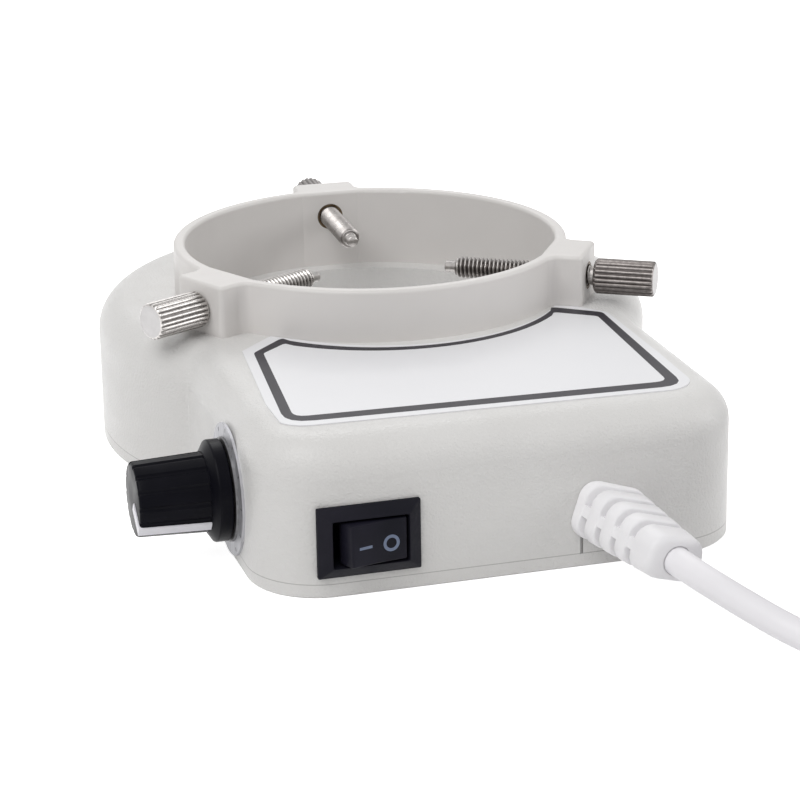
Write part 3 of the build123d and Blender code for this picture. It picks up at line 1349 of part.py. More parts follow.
# All pieces, each under the name of its file
def pieces():
    """Every sub-part by name."""
    named = {
        "upper_housing": upper_housing(),
        "bottom_cover": bottom_cover(),
        "cover_screws": cover_screws(),
        "collar_ring": collar_ring(),
        "thread_inserts": thread_inserts(),
        "lamp_board": lamp_board(),
        "led_lamps": led_lamps(),
        "lamp_board_screws": lamp_board_screws(),
        "label_sheet": label_sheet(),
        "dial_plate": dial_plate(),
        "dimmer_washer": dimmer_washer(),
        "dimmer_nut": dimmer_nut(),
        "potentiometer_body": potentiometer_body(),
        "potentiometer_terminals": potentiometer_terminals(),
        "potentiometer_shaft": potentiometer_shaft(),
        "dimmer_knob": dimmer_knob(),
        "knob_pointer": knob_pointer(),
        "switch_frame": switch_frame(),
        "switch_rocker": switch_rocker(),
        "switch_terminals": switch_terminals(),
        "driver_board": driver_board(),
        "driver_board_screws": driver_board_screws(),
        "transformer_core": transformer_core(),
        "transformer_bobbin": transformer_bobbin(),
        "transformer_winding": transformer_winding(),
        "bulk_capacitor": bulk_capacitor(),
        "output_capacitor": output_capacitor(),
        "choke": choke(),
        "fuse_tube": fuse_tube(),
        "fuse_caps": fuse_caps(),
        "rectifier": rectifier(),
        "controller": controller(),
        "lead_socket": lead_socket(),
        "mains_leads": mains_leads(),
        "dimmer_leads": dimmer_leads(),
        "lamp_leads": lamp_leads(),
        "strain_relief": strain_relief(),
        "cord_inner_end": cord_inner_end(),
        "cord_from_lamp": cord_tube("cord_from_lamp", first_route()),
        "cord_coil": cord_coil(),
        "cord_to_plug": cord_tube("cord_to_plug", end_route()),
        "cord_tie": cord_tie(),
        "plug_body": plug_body(),
        "plug_blades": plug_blades(),
    }
    for i, place in enumerate(screw_places(), start=1):
        named[f"thumb_stud_{i}"] = thumb_stud(place)
        named[f"thumb_head_{i}"] = thumb_head(place)
    return named


def main():
    """Write every sub-part and print what the cord measures."""
    os.makedirs("parts", exist_ok=True)
    for name, shape in pieces().items():
        solids = shape if isinstance(shape, list) else [shape]
        if len(solids) == 1:
            export_step(solids[0], f"parts/{name}.step")
        else:
            export_step(Compound(children=solids), f"parts/{name}.step")
    path = coil_path()
    section = pi * CORD_RADIUS**2
    print(f"cord_coil: length {path.length:.1f}, least gap {coil_gap():.2f},"
          f" volume {cord_coil().volume:.1f} of {section * path.length:.1f}")


main()
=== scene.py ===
"""Ring lamp for a stereo microscope: its pieces in the order in which they are put together.

Everything is in the lamp's own frame: the origin is on the ring's axis in the plane of the base, +Z is
up, and the control box reaches out to -Y. Sizes are in millimetres and are scaled when a mesh is made.
"""

import math

import bpy
import numpy as np
from mathutils import Matrix, Vector


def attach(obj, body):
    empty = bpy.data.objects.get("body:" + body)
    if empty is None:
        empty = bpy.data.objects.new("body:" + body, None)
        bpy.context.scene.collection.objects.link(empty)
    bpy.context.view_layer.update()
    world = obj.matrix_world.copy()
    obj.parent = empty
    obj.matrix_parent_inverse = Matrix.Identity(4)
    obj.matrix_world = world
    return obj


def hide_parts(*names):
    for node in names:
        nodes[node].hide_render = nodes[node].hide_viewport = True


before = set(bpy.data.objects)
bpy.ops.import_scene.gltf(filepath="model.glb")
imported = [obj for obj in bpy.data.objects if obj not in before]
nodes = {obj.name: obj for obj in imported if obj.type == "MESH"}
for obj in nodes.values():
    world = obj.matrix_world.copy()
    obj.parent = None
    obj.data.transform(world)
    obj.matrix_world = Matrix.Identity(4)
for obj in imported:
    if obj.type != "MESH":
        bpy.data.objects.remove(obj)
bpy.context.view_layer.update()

# Upper housing
# One injection moulding in warm white plastic: the ring, the waist and the control box. Its skin is
# lightly etched, so it glints in small points, and the cover closes it from below at the parting line.
HOUSING_DARK = (0.655, 0.645, 0.632)
HOUSING_LIGHT = (0.70, 0.692, 0.68)
NOISE_SPAN = (0.35, 0.65)
GLOSS_SCALE = 260.0
PARTING_HEIGHT = 0.0022
PARTING_HALF_WIDTH = 0.00007
PARTING_COLOUR = (0.43, 0.42, 0.41, 1)
TAB_MIDDLE = 0.0147
TAB_HALF_WIDTH = 0.0039
TAB_TOP = 0.0056
TAB_FACE = -0.0754
TAB_LINE_HALF_WIDTH = 0.00014
TAB_COLOUR = (0.16, 0.155, 0.15, 1)


def start_skin(name, *extra):
    """A node group for a skin: its tree, its inputs and its outputs.

    Every skin takes a place, two colours, two roughnesses and what is extra, each with its socket's
    kind, and gives a colour, a roughness and a height.
    """
    group = bpy.data.node_groups.new(name, "ShaderNodeTree")
    takes = (("Place", "Vector"), ("Dark", "Color"), ("Light", "Color"), ("Gloss Low", "Float"),
             ("Gloss High", "Float"), *extra)
    gives = (("Colour", "Color"), ("Roughness", "Float"), ("Height", "Float"))
    for sockets, side in ((takes, "INPUT"), (gives, "OUTPUT")):
        for label, kind in sockets:
            group.interface.new_socket(name=label, in_out=side, socket_type="NodeSocket" + kind)
    return group, group.nodes.new("NodeGroupInput").outputs, group.nodes.new("NodeGroupOutput").inputs


def connect(tree, value, socket):
    """Links a socket from another one, or gives it a value."""
    if isinstance(value, bpy.types.NodeSocket):
        tree.links.new(value, socket)
    else:
        socket.default_value = value


def feed(tree, kind, **sockets):
    """A new node in a tree, with a value or a link for each socket that is named."""
    node = tree.nodes.new(kind)
    for label, value in sockets.items():
        connect(tree, value, node.inputs[label.replace("_", " ")])
    return node


def noise(tree, place, scale, detail=2.0, roughness=0.5):
    """A noise at a place, as a value."""
    return feed(tree, "ShaderNodeTexNoise", Vector=place, Scale=scale, Detail=detail,
                Roughness=roughness).outputs["Fac"]


def spread(tree, value, low=0.0, high=1.0, span=NOISE_SPAN):
    """From low to high as a value passes over a span, by default the middle of a noise's range."""
    return feed(tree, "ShaderNodeMapRange", Value=value, From_Min=span[0], From_Max=span[1],
                To_Min=low, To_Max=high).outputs["Result"]


def blend_colours(tree, factor, first, second):
    """A colour from first to second as the factor goes from 0 to 1."""
    node = tree.nodes.new("ShaderNodeMix")
    node.data_type = "RGBA"
    for label, value in (("Factor", factor), ("A", first), ("B", second)):
        connect(tree, value, [s for s in node.inputs if s.name == label and s.enabled][0])
    return [s for s in node.outputs if s.enabled][0]


def make_moulded_skin():
    """The skin of a moulding: slow clouds of colour, an uneven gloss and a fine etched grain.

    The colour lies between two by a wide noise, the roughness between two by a finer one, and the
    height is the finest noise.
    """
    group, given, out = start_skin("moulded_skin", ("Cloud Scale", "Float"), ("Grain Scale", "Float"))
    place = given["Place"]
    share = spread(group, noise(group, place, given["Cloud Scale"], 3.0))
    gloss = spread(group, noise(group, place, GLOSS_SCALE), given["Gloss Low"], given["Gloss High"])
    group.links.new(blend_colours(group, share, given["Dark"], given["Light"]), out["Colour"])
    group.links.new(gloss, out["Roughness"])
    group.links.new(noise(group, place, given["Grain Scale"], roughness=0.6), out["Height"])
    return group


moulded_skin = make_moulded_skin()


def start_material(name, **uniform):
    """A material with one principled shader; uniform values are set on the shader's own sockets."""
    material = bpy.data.materials.new(name)
    material.use_nodes = True
    shader = material.node_tree.nodes["Principled BSDF"]
    for label, value in uniform.items():
        shader.inputs[label.replace("_", " ")].default_value = value
    place = material.node_tree.nodes.new("ShaderNodeTexCoord").outputs["Object"]
    return material, material.node_tree, shader, place


def add_bump(tree, shader, height, strength, depth):
    """Bends the shader's normal by a height."""
    bump = feed(tree, "ShaderNodeBump", Strength=strength, Distance=depth, Height=height)
    tree.links.new(bump.outputs["Normal"], shader.inputs["Normal"])


def dress(tree, shader, group, place, strength, depth, values):
    """Puts a skin on a shader: its colour, its roughness, and its height as a bump."""
    skin = tree.nodes.new("ShaderNodeGroup")
    skin.node_tree = group
    tree.links.new(place, skin.inputs["Place"])
    for label, value in values.items():
        skin.inputs[label].default_value = (*value, 1) if isinstance(value, tuple) else value
    tree.links.new(skin.outputs["Colour"], shader.inputs["Base Color"])
    tree.links.new(skin.outputs["Roughness"], shader.inputs["Roughness"])
    add_bump(tree, shader, skin.outputs["Height"], strength, depth)
    return skin


def moulded(name, dark, light, gloss=(0.35, 0.45), grain=900.0, depth=0.00003, clouds=45.0, **uniform):
    """A moulded plastic from the moulded skin, with its grain as a bump."""
    material, tree, shader, place = start_material(name, **uniform)
    dress(tree, shader, moulded_skin, place, 0.5, depth, {
        "Dark": dark, "Light": light, "Cloud Scale": clouds, "Grain Scale": grain,
        "Gloss Low": gloss[0], "Gloss High": gloss[1]})
    return material


def wear(node_names, material):
    """Gives a material to CAD nodes, whose shapes stay as they are."""
    for node_name in node_names:
        slots = nodes[node_name].data.materials
        slots.clear()
        slots.append(material)


def calculate(tree, operation, *values):
    """A plain sum on values or sockets, as a new node's output."""
    node = tree.nodes.new("ShaderNodeMath")
    node.operation = operation
    for socket, value in zip(node.inputs, values):
        connect(tree, value, socket)
    return node.outputs[0]


def add_parting_line(material):
    """Darkens a moulding along its parting line, level round the piece, and beside the cover's tab."""
    tree = material.node_tree
    shader = tree.nodes["Principled BSDF"]
    place = tree.nodes["Texture Coordinate"].outputs["Object"]
    x, y, z = feed(tree, "ShaderNodeSeparateXYZ", Vector=place).outputs
    level = calculate(tree, "COMPARE", z, PARTING_HEIGHT, PARTING_HALF_WIDTH)
    plain = shader.inputs["Base Color"].links[0].from_socket
    lined = blend_colours(tree, level, plain, PARTING_COLOUR)
    aside = calculate(tree, "ABSOLUTE", calculate(tree, "SUBTRACT", x, TAB_MIDDLE))
    at_tab = calculate(tree, "COMPARE", aside, TAB_HALF_WIDTH, TAB_LINE_HALF_WIDTH)
    for test, place, limit in (("LESS_THAN", z, TAB_TOP), ("GREATER_THAN", z, PARTING_HEIGHT),
                               ("LESS_THAN", y, TAB_FACE)):
        at_tab = calculate(tree, "MULTIPLY", at_tab, calculate(tree, test, place, limit))
    tree.links.new(blend_colours(tree, at_tab, lined, TAB_COLOUR), shader.inputs["Base Color"])


housing_plastic = moulded("housing_plastic", HOUSING_DARK, HOUSING_LIGHT, gloss=(0.31, 0.41),
                          grain=2400.0, depth=0.00028, clouds=30.0, Specular_IOR_Level=0.44)
add_parting_line(housing_plastic)
wear(["upper_housing"], housing_plastic)

# Lamp ring
# Sixty-four clear round lamps on a white ring board, held up in the ring by four small screws. Each
# lamp has a metal cup inside with a yellow emitter in it, and the board hides every wire but two.
MM = 0.001
LAMP_RINGS = (33.6, 39.8)
LAMP_PLACES = 36
EMITTER_LOW = 6.4
CUP_LOW = 6.6
CUP_HIGH = 8.6
CUP_MOUTH = 1.5
CUP_FOOT = 0.9
EMITTER_RADIUS = 1.25
EMITTER_TIP_RADIUS = 0.9
CUP_COLUMNS = 10
CUP_FLOOR = 0.1
EMITTER_SUNK = 0.02
METAL_GLOSS_SCALE = 320.0


def ring_shell(rings, joined=False):
    """The corners and faces of a closed surface from a grid with one row for each ring.

    Place (i, j) is joined to (i + 1, j), (i + 1, j + 1) and (i, j + 1), where j is counted round. The
    first and last rings are closed by a fan to their mean place, or are joined to each other.
    """
    rows, columns = rings.shape[:2]
    i, j = np.meshgrid(np.arange(rows if joined else rows - 1), np.arange(columns), indexing="ij")
    on, round_on = (i + 1) % rows * columns, (j + 1) % columns
    quads = np.stack([i * columns + j, on + j, on + round_on, i * columns + round_on], -1).reshape(-1, 4)
    corners = rings.reshape(-1, 3)
    fans = np.zeros((0, 3), int)
    if not joined:
        k = np.arange(columns)
        low = np.stack([np.full(columns, rows * columns), k, (k + 1) % columns], -1)
        last = (rows - 1) * columns
        high = np.stack([np.full(columns, rows * columns + 1), last + (k + 1) % columns, last + k], -1)
        fans = np.concatenate([low, high])
        corners = np.concatenate([corners, [rings[0].mean(0), rings[-1].mean(0)]])
    return turned_out(corners, quads, fans)


def turned_out(corners, quads, fans):
    """The same shell with its faces outwards: they are reversed where the enclosed volume is negative.

    Six times the volume is the sum over all triangles of the triple product of their corners.
    """
    triangles = np.concatenate([quads[:, :3], quads[:, [0, 2, 3]], fans])
    a, b, c = (corners[triangles[:, k]] for k in range(3))
    if (a * np.cross(b, c)).sum() < 0:
        quads, fans = quads[:, ::-1], fans[:, ::-1]
    return corners, quads, fans


def add_object(name, data):
    """A new object in the scene, on a mesh, a curve, a light or a camera."""
    item = bpy.data.objects.new(name, data)
    bpy.context.scene.collection.objects.link(item)
    return item


def make_piece(name, shells, material, body, crease=38.0, hollow=None):
    """A scene piece from closed shells, smooth but for edges sharper than the crease angle.

    A hollow value for each corner, 0 on a ridge and 1 in a groove, is kept as the attribute hollow.
    """
    corners, faces, start = [], [], 0
    for shell_corners, quads, fans in shells:
        corners.append(shell_corners)
        faces += (quads + start).tolist() + (fans + start).tolist()
        start += len(shell_corners)
    mesh = bpy.data.meshes.new(name)
    mesh.from_pydata(np.concatenate(corners) * MM, [], faces)
    mesh.shade_smooth()
    mesh.set_sharp_from_angle(angle=math.radians(crease))
    if hollow is not None:
        kept = mesh.attributes.new("hollow", "FLOAT", "POINT")
        kept.data.foreach_set("value", np.asarray(hollow, np.float32))
    mesh.materials.append(material)
    piece = add_object(name, mesh)
    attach(piece, body)
    return piece


def grid(x, y, z):
    """Corners from three coordinates, each of which may be one value for a whole row or column."""
    return np.stack(np.broadcast_arrays(x, y, z), -1)


def lathe(heights, radii, columns, places):
    """Turned shells about upright axes: at each height a circle of the radius given there."""
    angle = 2 * np.pi * np.arange(columns) / columns
    ring = grid(np.outer(radii, np.cos(angle)), np.outer(radii, np.sin(angle)),
                np.array(heights)[:, None])
    return [ring_shell(ring + np.array((x, y, 0.0))) for x, y in places]


# No lamp stands at the four screws, which are at 45 degrees and every 90 degrees on.
lamp_angle = (np.arange(LAMP_PLACES) + 0.5) * 360 / LAMP_PLACES
free_of_screws = np.abs((lamp_angle - 45) % 90) > 0.1
lamp_places = [(radius * math.cos(math.radians(a)), radius * math.sin(math.radians(a)))
               for radius in LAMP_RINGS for a, free in zip(lamp_angle, free_of_screws) if free]


def make_plated_skin():
    """The skin of a plated or turned metal: fine marks in its colour and height, and an uneven gloss.

    The place may be stretched first, which draws the marks out into brushing or turning lines. Where
    the hollow value nears 1 the colour falls towards a dark colour, a painted shade for the grooves.
    """
    group, given, out = start_skin("plated_skin", ("Groove Shade", "Color"), ("Hollow", "Float"),
                                   ("Mark Scale", "Float"))
    place = given["Place"]
    marks = noise(group, place, given["Mark Scale"], 3.0, 0.6)
    clean = blend_colours(group, spread(group, marks), given["Dark"], given["Light"])
    gloss = spread(group, noise(group, place, METAL_GLOSS_SCALE), given["Gloss Low"], given["Gloss High"])
    # Painted shade: the colour falls towards the groove shade where the hollow value is high.
    group.links.new(blend_colours(group, given["Hollow"], clean, given["Groove Shade"]), out["Colour"])
    group.links.new(gloss, out["Roughness"])
    group.links.new(marks, out["Height"])
    return group


plated_skin = make_plated_skin()


def plated(name, dark, light, groove_shade=(0.05, 0.045, 0.04), gloss=(0.2, 0.32), marks=1200.0,
           stretch=(1.0, 1.0, 1.0), depth=0.00001, **uniform):
    """A metal from the plated skin, with its marks stretched along an axis and used as a bump."""
    material, tree, shader, place = start_material(name, Metallic=1.0, **uniform)
    drawn = feed(tree, "ShaderNodeMapping", Vector=place, Scale=stretch).outputs["Vector"]
    skin = dress(tree, shader, plated_skin, drawn, 0.4, depth, {
        "Dark": dark, "Light": light, "Groove Shade": groove_shade, "Mark Scale": marks,
        "Gloss Low": gloss[0], "Gloss High": gloss[1]})
    hollow = tree.nodes.new("ShaderNodeAttribute")
    hollow.attribute_name = "hollow"
    tree.links.new(hollow.outputs["Fac"], skin.inputs["Hollow"])
    return material


def clear(name, colour, rough, wave_scale, wave_depth, transmission=1.0):
    """A clear moulding or glass with a faint waviness in its surface."""
    material, tree, shader, place = start_material(
        name, Base_Color=(*colour, 1), Roughness=rough, Transmission_Weight=transmission, IOR=1.5)
    add_bump(tree, shader, noise(tree, place, wave_scale), 0.3, wave_depth)
    return material


emitter_yellow = moulded("emitter_yellow", (0.72, 0.52, 0.05), (0.86, 0.66, 0.10), gloss=(0.5, 0.6),
                         grain=2500.0, depth=0.00002, clouds=900.0)
cup_silver = plated("cup_silver", (0.70, 0.70, 0.68), (0.82, 0.82, 0.80), gloss=(0.12, 0.2))
screw_steel = plated("screw_steel", (0.50, 0.49, 0.48), (0.64, 0.63, 0.61), gloss=(0.25, 0.38))
lead_sleeve = moulded("lead_sleeve", (0.42, 0.03, 0.03), (0.55, 0.06, 0.05), gloss=(0.35, 0.45),
                      grain=900.0)
wear(["led_lamps"],
     clear("lamp_lens", (0.96, 0.98, 1.0), 0.04, 700.0, 0.00001, transmission=0.92))
wear(["lamp_board"],
     moulded("lamp_board_face", (0.72, 0.73, 0.70), (0.80, 0.81, 0.78), gloss=(0.28, 0.38), grain=420.0,
             depth=0.00002, clouds=120.0))
wear(["lamp_board_screws"], screw_steel)
wear(["lamp_leads"], lead_sleeve)
cup_heights = (CUP_HIGH, CUP_LOW, CUP_LOW + CUP_FLOOR)
cup_radii = (CUP_FOOT, CUP_MOUTH, EMITTER_RADIUS)
make_piece("lamp_cups", lathe(cup_heights, cup_radii, CUP_COLUMNS, lamp_places), cup_silver, "housing")
emitter_heights = (CUP_LOW + CUP_FLOOR - EMITTER_SUNK, EMITTER_LOW)
emitter_radii = (EMITTER_RADIUS - 0.05, EMITTER_TIP_RADIUS)
make_piece("lamp_emitters", lathe(emitter_heights, emitter_radii, CUP_COLUMNS, lamp_places),
           emitter_yellow, "housing")

# Driver board
# A phenolic board on the cover's posts that turns the mains into the lamps' supply: fuse, rectifier,
# capacitors, a small wound transformer and a choke, with the leads pushed into a white socket.
bright_steel = plated("bright_steel", (0.60, 0.59, 0.57), (0.76, 0.75, 0.73), gloss=(0.16, 0.26),
                      marks=1500.0, stretch=(1.0, 1.0, 0.15))
wear(["driver_board"],
     moulded("driver_board_face", (0.30, 0.20, 0.085), (0.42, 0.29, 0.13), gloss=(0.45, 0.6),
             grain=1500.0, depth=0.00004, clouds=150.0))
wear(["driver_board_screws"], screw_steel)
wear(["transformer_core", "choke"],
     moulded("ferrite", (0.035, 0.035, 0.04), (0.06, 0.06, 0.065), gloss=(0.5, 0.65), grain=1800.0,
             depth=0.00006, clouds=200.0))
wear(["transformer_bobbin", "lead_socket"],
     moulded("bobbin_plastic", (0.70, 0.67, 0.57), (0.78, 0.75, 0.65), gloss=(0.35, 0.5)))
wear(["transformer_winding"],
     moulded("winding_tape", (0.62, 0.42, 0.04), (0.74, 0.52, 0.07), gloss=(0.2, 0.35), grain=300.0,
             depth=0.00004))
wear(["bulk_capacitor", "output_capacitor"],
     moulded("capacitor_sleeve", (0.012, 0.02, 0.05), (0.02, 0.032, 0.08), gloss=(0.2, 0.35), grain=500.0,
             depth=0.00002))
wear(["rectifier", "controller"],
     moulded("black_plastic", (0.012, 0.012, 0.013), (0.02, 0.02, 0.021), gloss=(0.4, 0.55), grain=1800.0,
             depth=0.00003))
wear(["fuse_tube"],
     clear("fuse_glass", (0.95, 0.97, 0.96), 0.03, 500.0, 0.00001))
wear(["fuse_caps"], bright_steel)
wear(["mains_leads", "dimmer_leads"], lead_sleeve)

# Dimmer
# A small potentiometer behind the left wall; its threaded bushing passes a printed aluminium scale and
# a dull steel washer, and a hexagon nut under the knob's skirt clamps them together.
SIDE = -37.5
DIMMER_Y = -54.7
DIMMER_Z = 10.8
SCALE_FACE = SIDE - 0.4
SCALE_TICKS = 11
SCALE_ARC = 300.0
TICK_INNER = 8.9
TICK_OUTER = 9.5
TICK_HALF_WIDTH = 0.13
TICK_PROUD = 0.015


def scale_ticks():
    """Thin bars on the scale: bar k spans two radii and a half width to each side at its own angle.

    Angle 0 points up and grows clockwise as seen from outside, and the arc is centred on straight up.
    """
    angle = np.radians(np.linspace(-SCALE_ARC / 2, SCALE_ARC / 2, SCALE_TICKS))[:, None, None]
    out = np.array((0, 0, 1, 1))[None, None, :]
    radius = TICK_INNER + (TICK_OUTER - TICK_INNER) * out
    aside = TICK_HALF_WIDTH * np.array((-1, 1, 1, -1))[None, None, :]
    lift = np.array((0.0, TICK_PROUD))[None, :, None]
    y = DIMMER_Y - radius * np.sin(angle) - aside * np.cos(angle)
    z = DIMMER_Z + radius * np.cos(angle) - aside * np.sin(angle)
    return [ring_shell(bar) for bar in grid(SCALE_FACE - lift, y, z)]


scale_ink = moulded("scale_ink", (0.015, 0.015, 0.018), (0.025, 0.025, 0.03), gloss=(0.5, 0.6))
wear(["potentiometer_body"],
     plated("potentiometer_metal", (0.40, 0.40, 0.38), (0.52, 0.52, 0.50), gloss=(0.3, 0.45)))
wear(["potentiometer_terminals", "switch_terminals"],
     plated("tag_metal", (0.62, 0.60, 0.55), (0.74, 0.72, 0.67), gloss=(0.3, 0.42)))
wear(["potentiometer_shaft"], bright_steel)
wear(["dimmer_washer", "dimmer_nut"],
     plated("dark_steel", (0.15, 0.15, 0.155), (0.23, 0.23, 0.235), gloss=(0.4, 0.55)))
wear(["dial_plate"],
     plated("dial_aluminium", (0.38, 0.38, 0.40), (0.46, 0.46, 0.48), gloss=(0.46, 0.58), marks=900.0,
            stretch=(1.0, 1.0, 0.05)))
make_piece("scale_ticks", scale_ticks(), scale_ink, "housing")

# Dimmer knob
# A black phenolic knob pressed on the shaft: a plain skirt, a cone up to a tapered grip with narrow
# grooves and nearly flat lands between them, and a white line inlaid along the grip and over its end.
KNOB_BACK = -38.6
KNOB_END = -52.2
SKIRT_RADIUS = 7.7
SKIRT_LENGTH = 1.9
CONE_LENGTH = 1.0
GRIP_RADIUS = 6.1
GRIP_END_RADIUS = 5.7
GRIP_ROUNDING = 0.45
GROOVES = 14
GROOVE_CUTTER = 0.55
GROOVE_DEPTH = 0.3
GROOVE_TURN = 126.5
LAND_FLATNESS = 0.55
SKIRT_HOLLOW = 6.6
SKIRT_BREAK = 0.15
SKIRT_FRONT_EDGE = ((0.12, 0.0), (-0.1, 0.1))
GRIP_FOOT = 0.08
NUT_ROOM = -40.4
BUSHING_ROOM = 3.9
BUSHING_END = -41.8
SHAFT_RADIUS = 3.0
SHAFT_END = -50.1
CROSSING = (-0.56, -0.49, -0.33, -0.17, 0.0, 0.17, 0.33, 0.49, 0.56)
LAND_SHARES = (0.2, 0.4, 0.6, 0.8)


def groove_columns():
    """The angles of the knob's columns, close together over each groove, and how far each is from it.

    The first result is the angle of each column, the second its way along the rim from the middle of
    the nearest groove, and the third its angle from the middle of the nearest land.
    """
    pitch = 2 * np.pi / GROOVES
    edge = CROSSING[-1]
    across = pitch * GRIP_RADIUS - 2 * edge
    way = np.concatenate([CROSSING, edge + across * np.array(LAND_SHARES)])
    turn = np.radians(GROOVE_TURN) + pitch * (np.arange(GROOVES) + 0.5)
    angle = (turn[:, None] + way[None, :] / GRIP_RADIUS).ravel()
    way = np.tile(np.where(way > pitch * GRIP_RADIUS / 2, way - pitch * GRIP_RADIUS, way), GROOVES)
    return angle, way, pitch / 2 - np.abs(way) / GRIP_RADIUS


def grip_profile(radius, way, off_land):
    """The grip's radius round one section.

    A land is partly flattened towards the chord, radius * cos(half pitch) / cos(angle off its middle),
    and a groove is the round cutter's lower side: radius + rise - sqrt(cutter^2 - way^2).
    """
    chord = radius * np.cos(np.pi / GROOVES) / np.cos(off_land)
    land = radius + LAND_FLATNESS * (chord - radius)
    rise = GROOVE_CUTTER - GROOVE_DEPTH
    cut = radius + rise - np.sqrt(np.clip(GROOVE_CUTTER**2 - way**2, 0, None))
    return np.minimum(land, np.where(np.abs(way) < GROOVE_CUTTER, cut, land))


def rounding(radius, degrees):
    """Steps round a convex edge: how far each is from the end, and how far it is drawn in there."""
    return [(radius * (1 - math.sin(b)), radius * (1 - math.cos(b))) for b in np.radians(degrees)]


def places_and_radii(rows):
    """A column of places and the radii at them, from rows in which a radius may be one number."""
    places, radii = zip(*rows)
    return np.array(places)[:, None], np.stack(np.broadcast_arrays(*radii))


def knob_rings():
    """The knob's rings from the bottom of the shaft's hole, out over the skirt and grip to the end."""
    angle, way, off_land = groove_columns()
    skirt_front = KNOB_BACK - SKIRT_LENGTH
    grip_start = skirt_front - CONE_LENGTH
    rows = [(SHAFT_END, SHAFT_RADIUS), (BUSHING_END, SHAFT_RADIUS), (BUSHING_END, BUSHING_ROOM),
            (NUT_ROOM, BUSHING_ROOM), (NUT_ROOM, SKIRT_HOLLOW), (KNOB_BACK, SKIRT_HOLLOW),
            (KNOB_BACK, SKIRT_RADIUS - SKIRT_BREAK), (KNOB_BACK - SKIRT_BREAK, SKIRT_RADIUS),
            *((skirt_front + x, SKIRT_RADIUS - inset) for x, inset in SKIRT_FRONT_EDGE),
            (grip_start, GRIP_RADIUS + GRIP_FOOT)]
    along = np.linspace(0, 1, 9)
    length = KNOB_END + GRIP_ROUNDING - grip_start
    rows += [(grip_start + length * t, grip_profile(GRIP_RADIUS + (GRIP_END_RADIUS - GRIP_RADIUS) * t,
                                                    way, off_land)) for t in along]
    last = rows[-1][1]
    rows += [(KNOB_END + back, last - inset)
             for back, inset in rounding(GRIP_ROUNDING, (22.5, 45, 67.5, 90))]
    rows.append((KNOB_END, 0.5 * rows[-1][1]))
    x, radius = places_and_radii(rows)
    return grid(x, DIMMER_Y - radius * np.sin(angle), DIMMER_Z + radius * np.cos(angle))


knob_black = moulded("knob_black", (0.002, 0.002, 0.0042), (0.0035, 0.0035, 0.0062), gloss=(0.28, 0.40),
                     grain=700.0, depth=0.00001, clouds=200.0, Specular_IOR_Level=0.06)
knob = make_piece("knob_shell", [ring_shell(knob_rings())], knob_black, "dimmer",
                  crease=24.0)
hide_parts("dimmer_knob")
wear(["knob_pointer"],
     moulded("pointer_white", (0.74, 0.73, 0.78), (0.82, 0.81, 0.85), gloss=(0.4, 0.5), grain=700.0))

# Rocker switch
# A snap-in switch lying on its side: a black nylon frame whose rim slopes up almost to the window,
# and a rocker with its right end pressed in, printed with a bar and a ring.
FRONT = -75.5
SWITCH_X = -21.9
SWITCH_Z = 8.8
BEZEL_SIZE = (15.5, 10.75)
BEZEL_PROUD = 1.8
BEZEL_SLOPE = 1.1
BEZEL_INSETS = (1.9, 1.65)
EDGE_BREAK = 0.12
WINDOW_SIZE = (11.3, 7.0)
BODY_SIZE = (13.2, 8.8)
BODY_BACK = FRONT + 11.0
POCKET_BACK = BODY_BACK - 2.0
ROCKER_PIVOT_Y = FRONT + 2.5
ROCKER_TILT = 11.0
ROCKER_HALF_HEIGHT = 3.2
ROCKER_ROUNDING = 0.22
ROCKER_REACH = 4.6
PIVOT_RADIUS = 0.8
PIVOT_REACH = 4.0
ROCKER_CORNERS = ((-4.38, -5.24), (0.0, -4.79), (4.38, -5.24), (5.05, -2.2), (3.0, 1.5), (-3.0, 1.5),
                  (-5.05, -2.2))
ROCKER_BENDS = (0.35, 3.0, 0.3, 0.8, 0.5, 0.5, 0.8)
MARK_LIFT = 0.02
MARK_SUNK = 0.1
MARK_STEPS = 36
BAR_PLACE = (-2.14, -0.40)
BAR_SIZE = (2.1, 0.42)
RING_PLACE = (1.96, -0.41)
RING_RADII = (0.80, 1.27)


def unit(ways):
    """Each row's way with a length of one."""
    return ways / np.linalg.norm(ways, axis=1, keepdims=True)


def bent_outline(corners, bends, steps=5):
    """A closed outline with its corners rounded.

    Each corner is a quadratic Bezier arc from a point before it to a point after it, both the bend's
    length away, with the corner as its middle control point.
    """
    corners, bends = np.asarray(corners, float), np.asarray(bends, float)[:, None]
    start = corners + unit(np.roll(corners, 1, 0) - corners) * bends
    end = corners + unit(np.roll(corners, -1, 0) - corners) * bends
    t = np.linspace(0, 1, steps)[None, :, None]
    arcs = (1 - t)**2 * start[:, None] + 2 * t * (1 - t) * corners[:, None] + t**2 * end[:, None]
    return arcs.reshape(-1, 2)


def box_outline(size, bend):
    """A rectangle about the middle with its four corners rounded."""
    half_x, half_z = size[0] / 2, size[1] / 2
    corners = ((-half_x, -half_z), (half_x, -half_z), (half_x, half_z), (-half_x, half_z))
    return bent_outline(corners, (bend,) * 4)


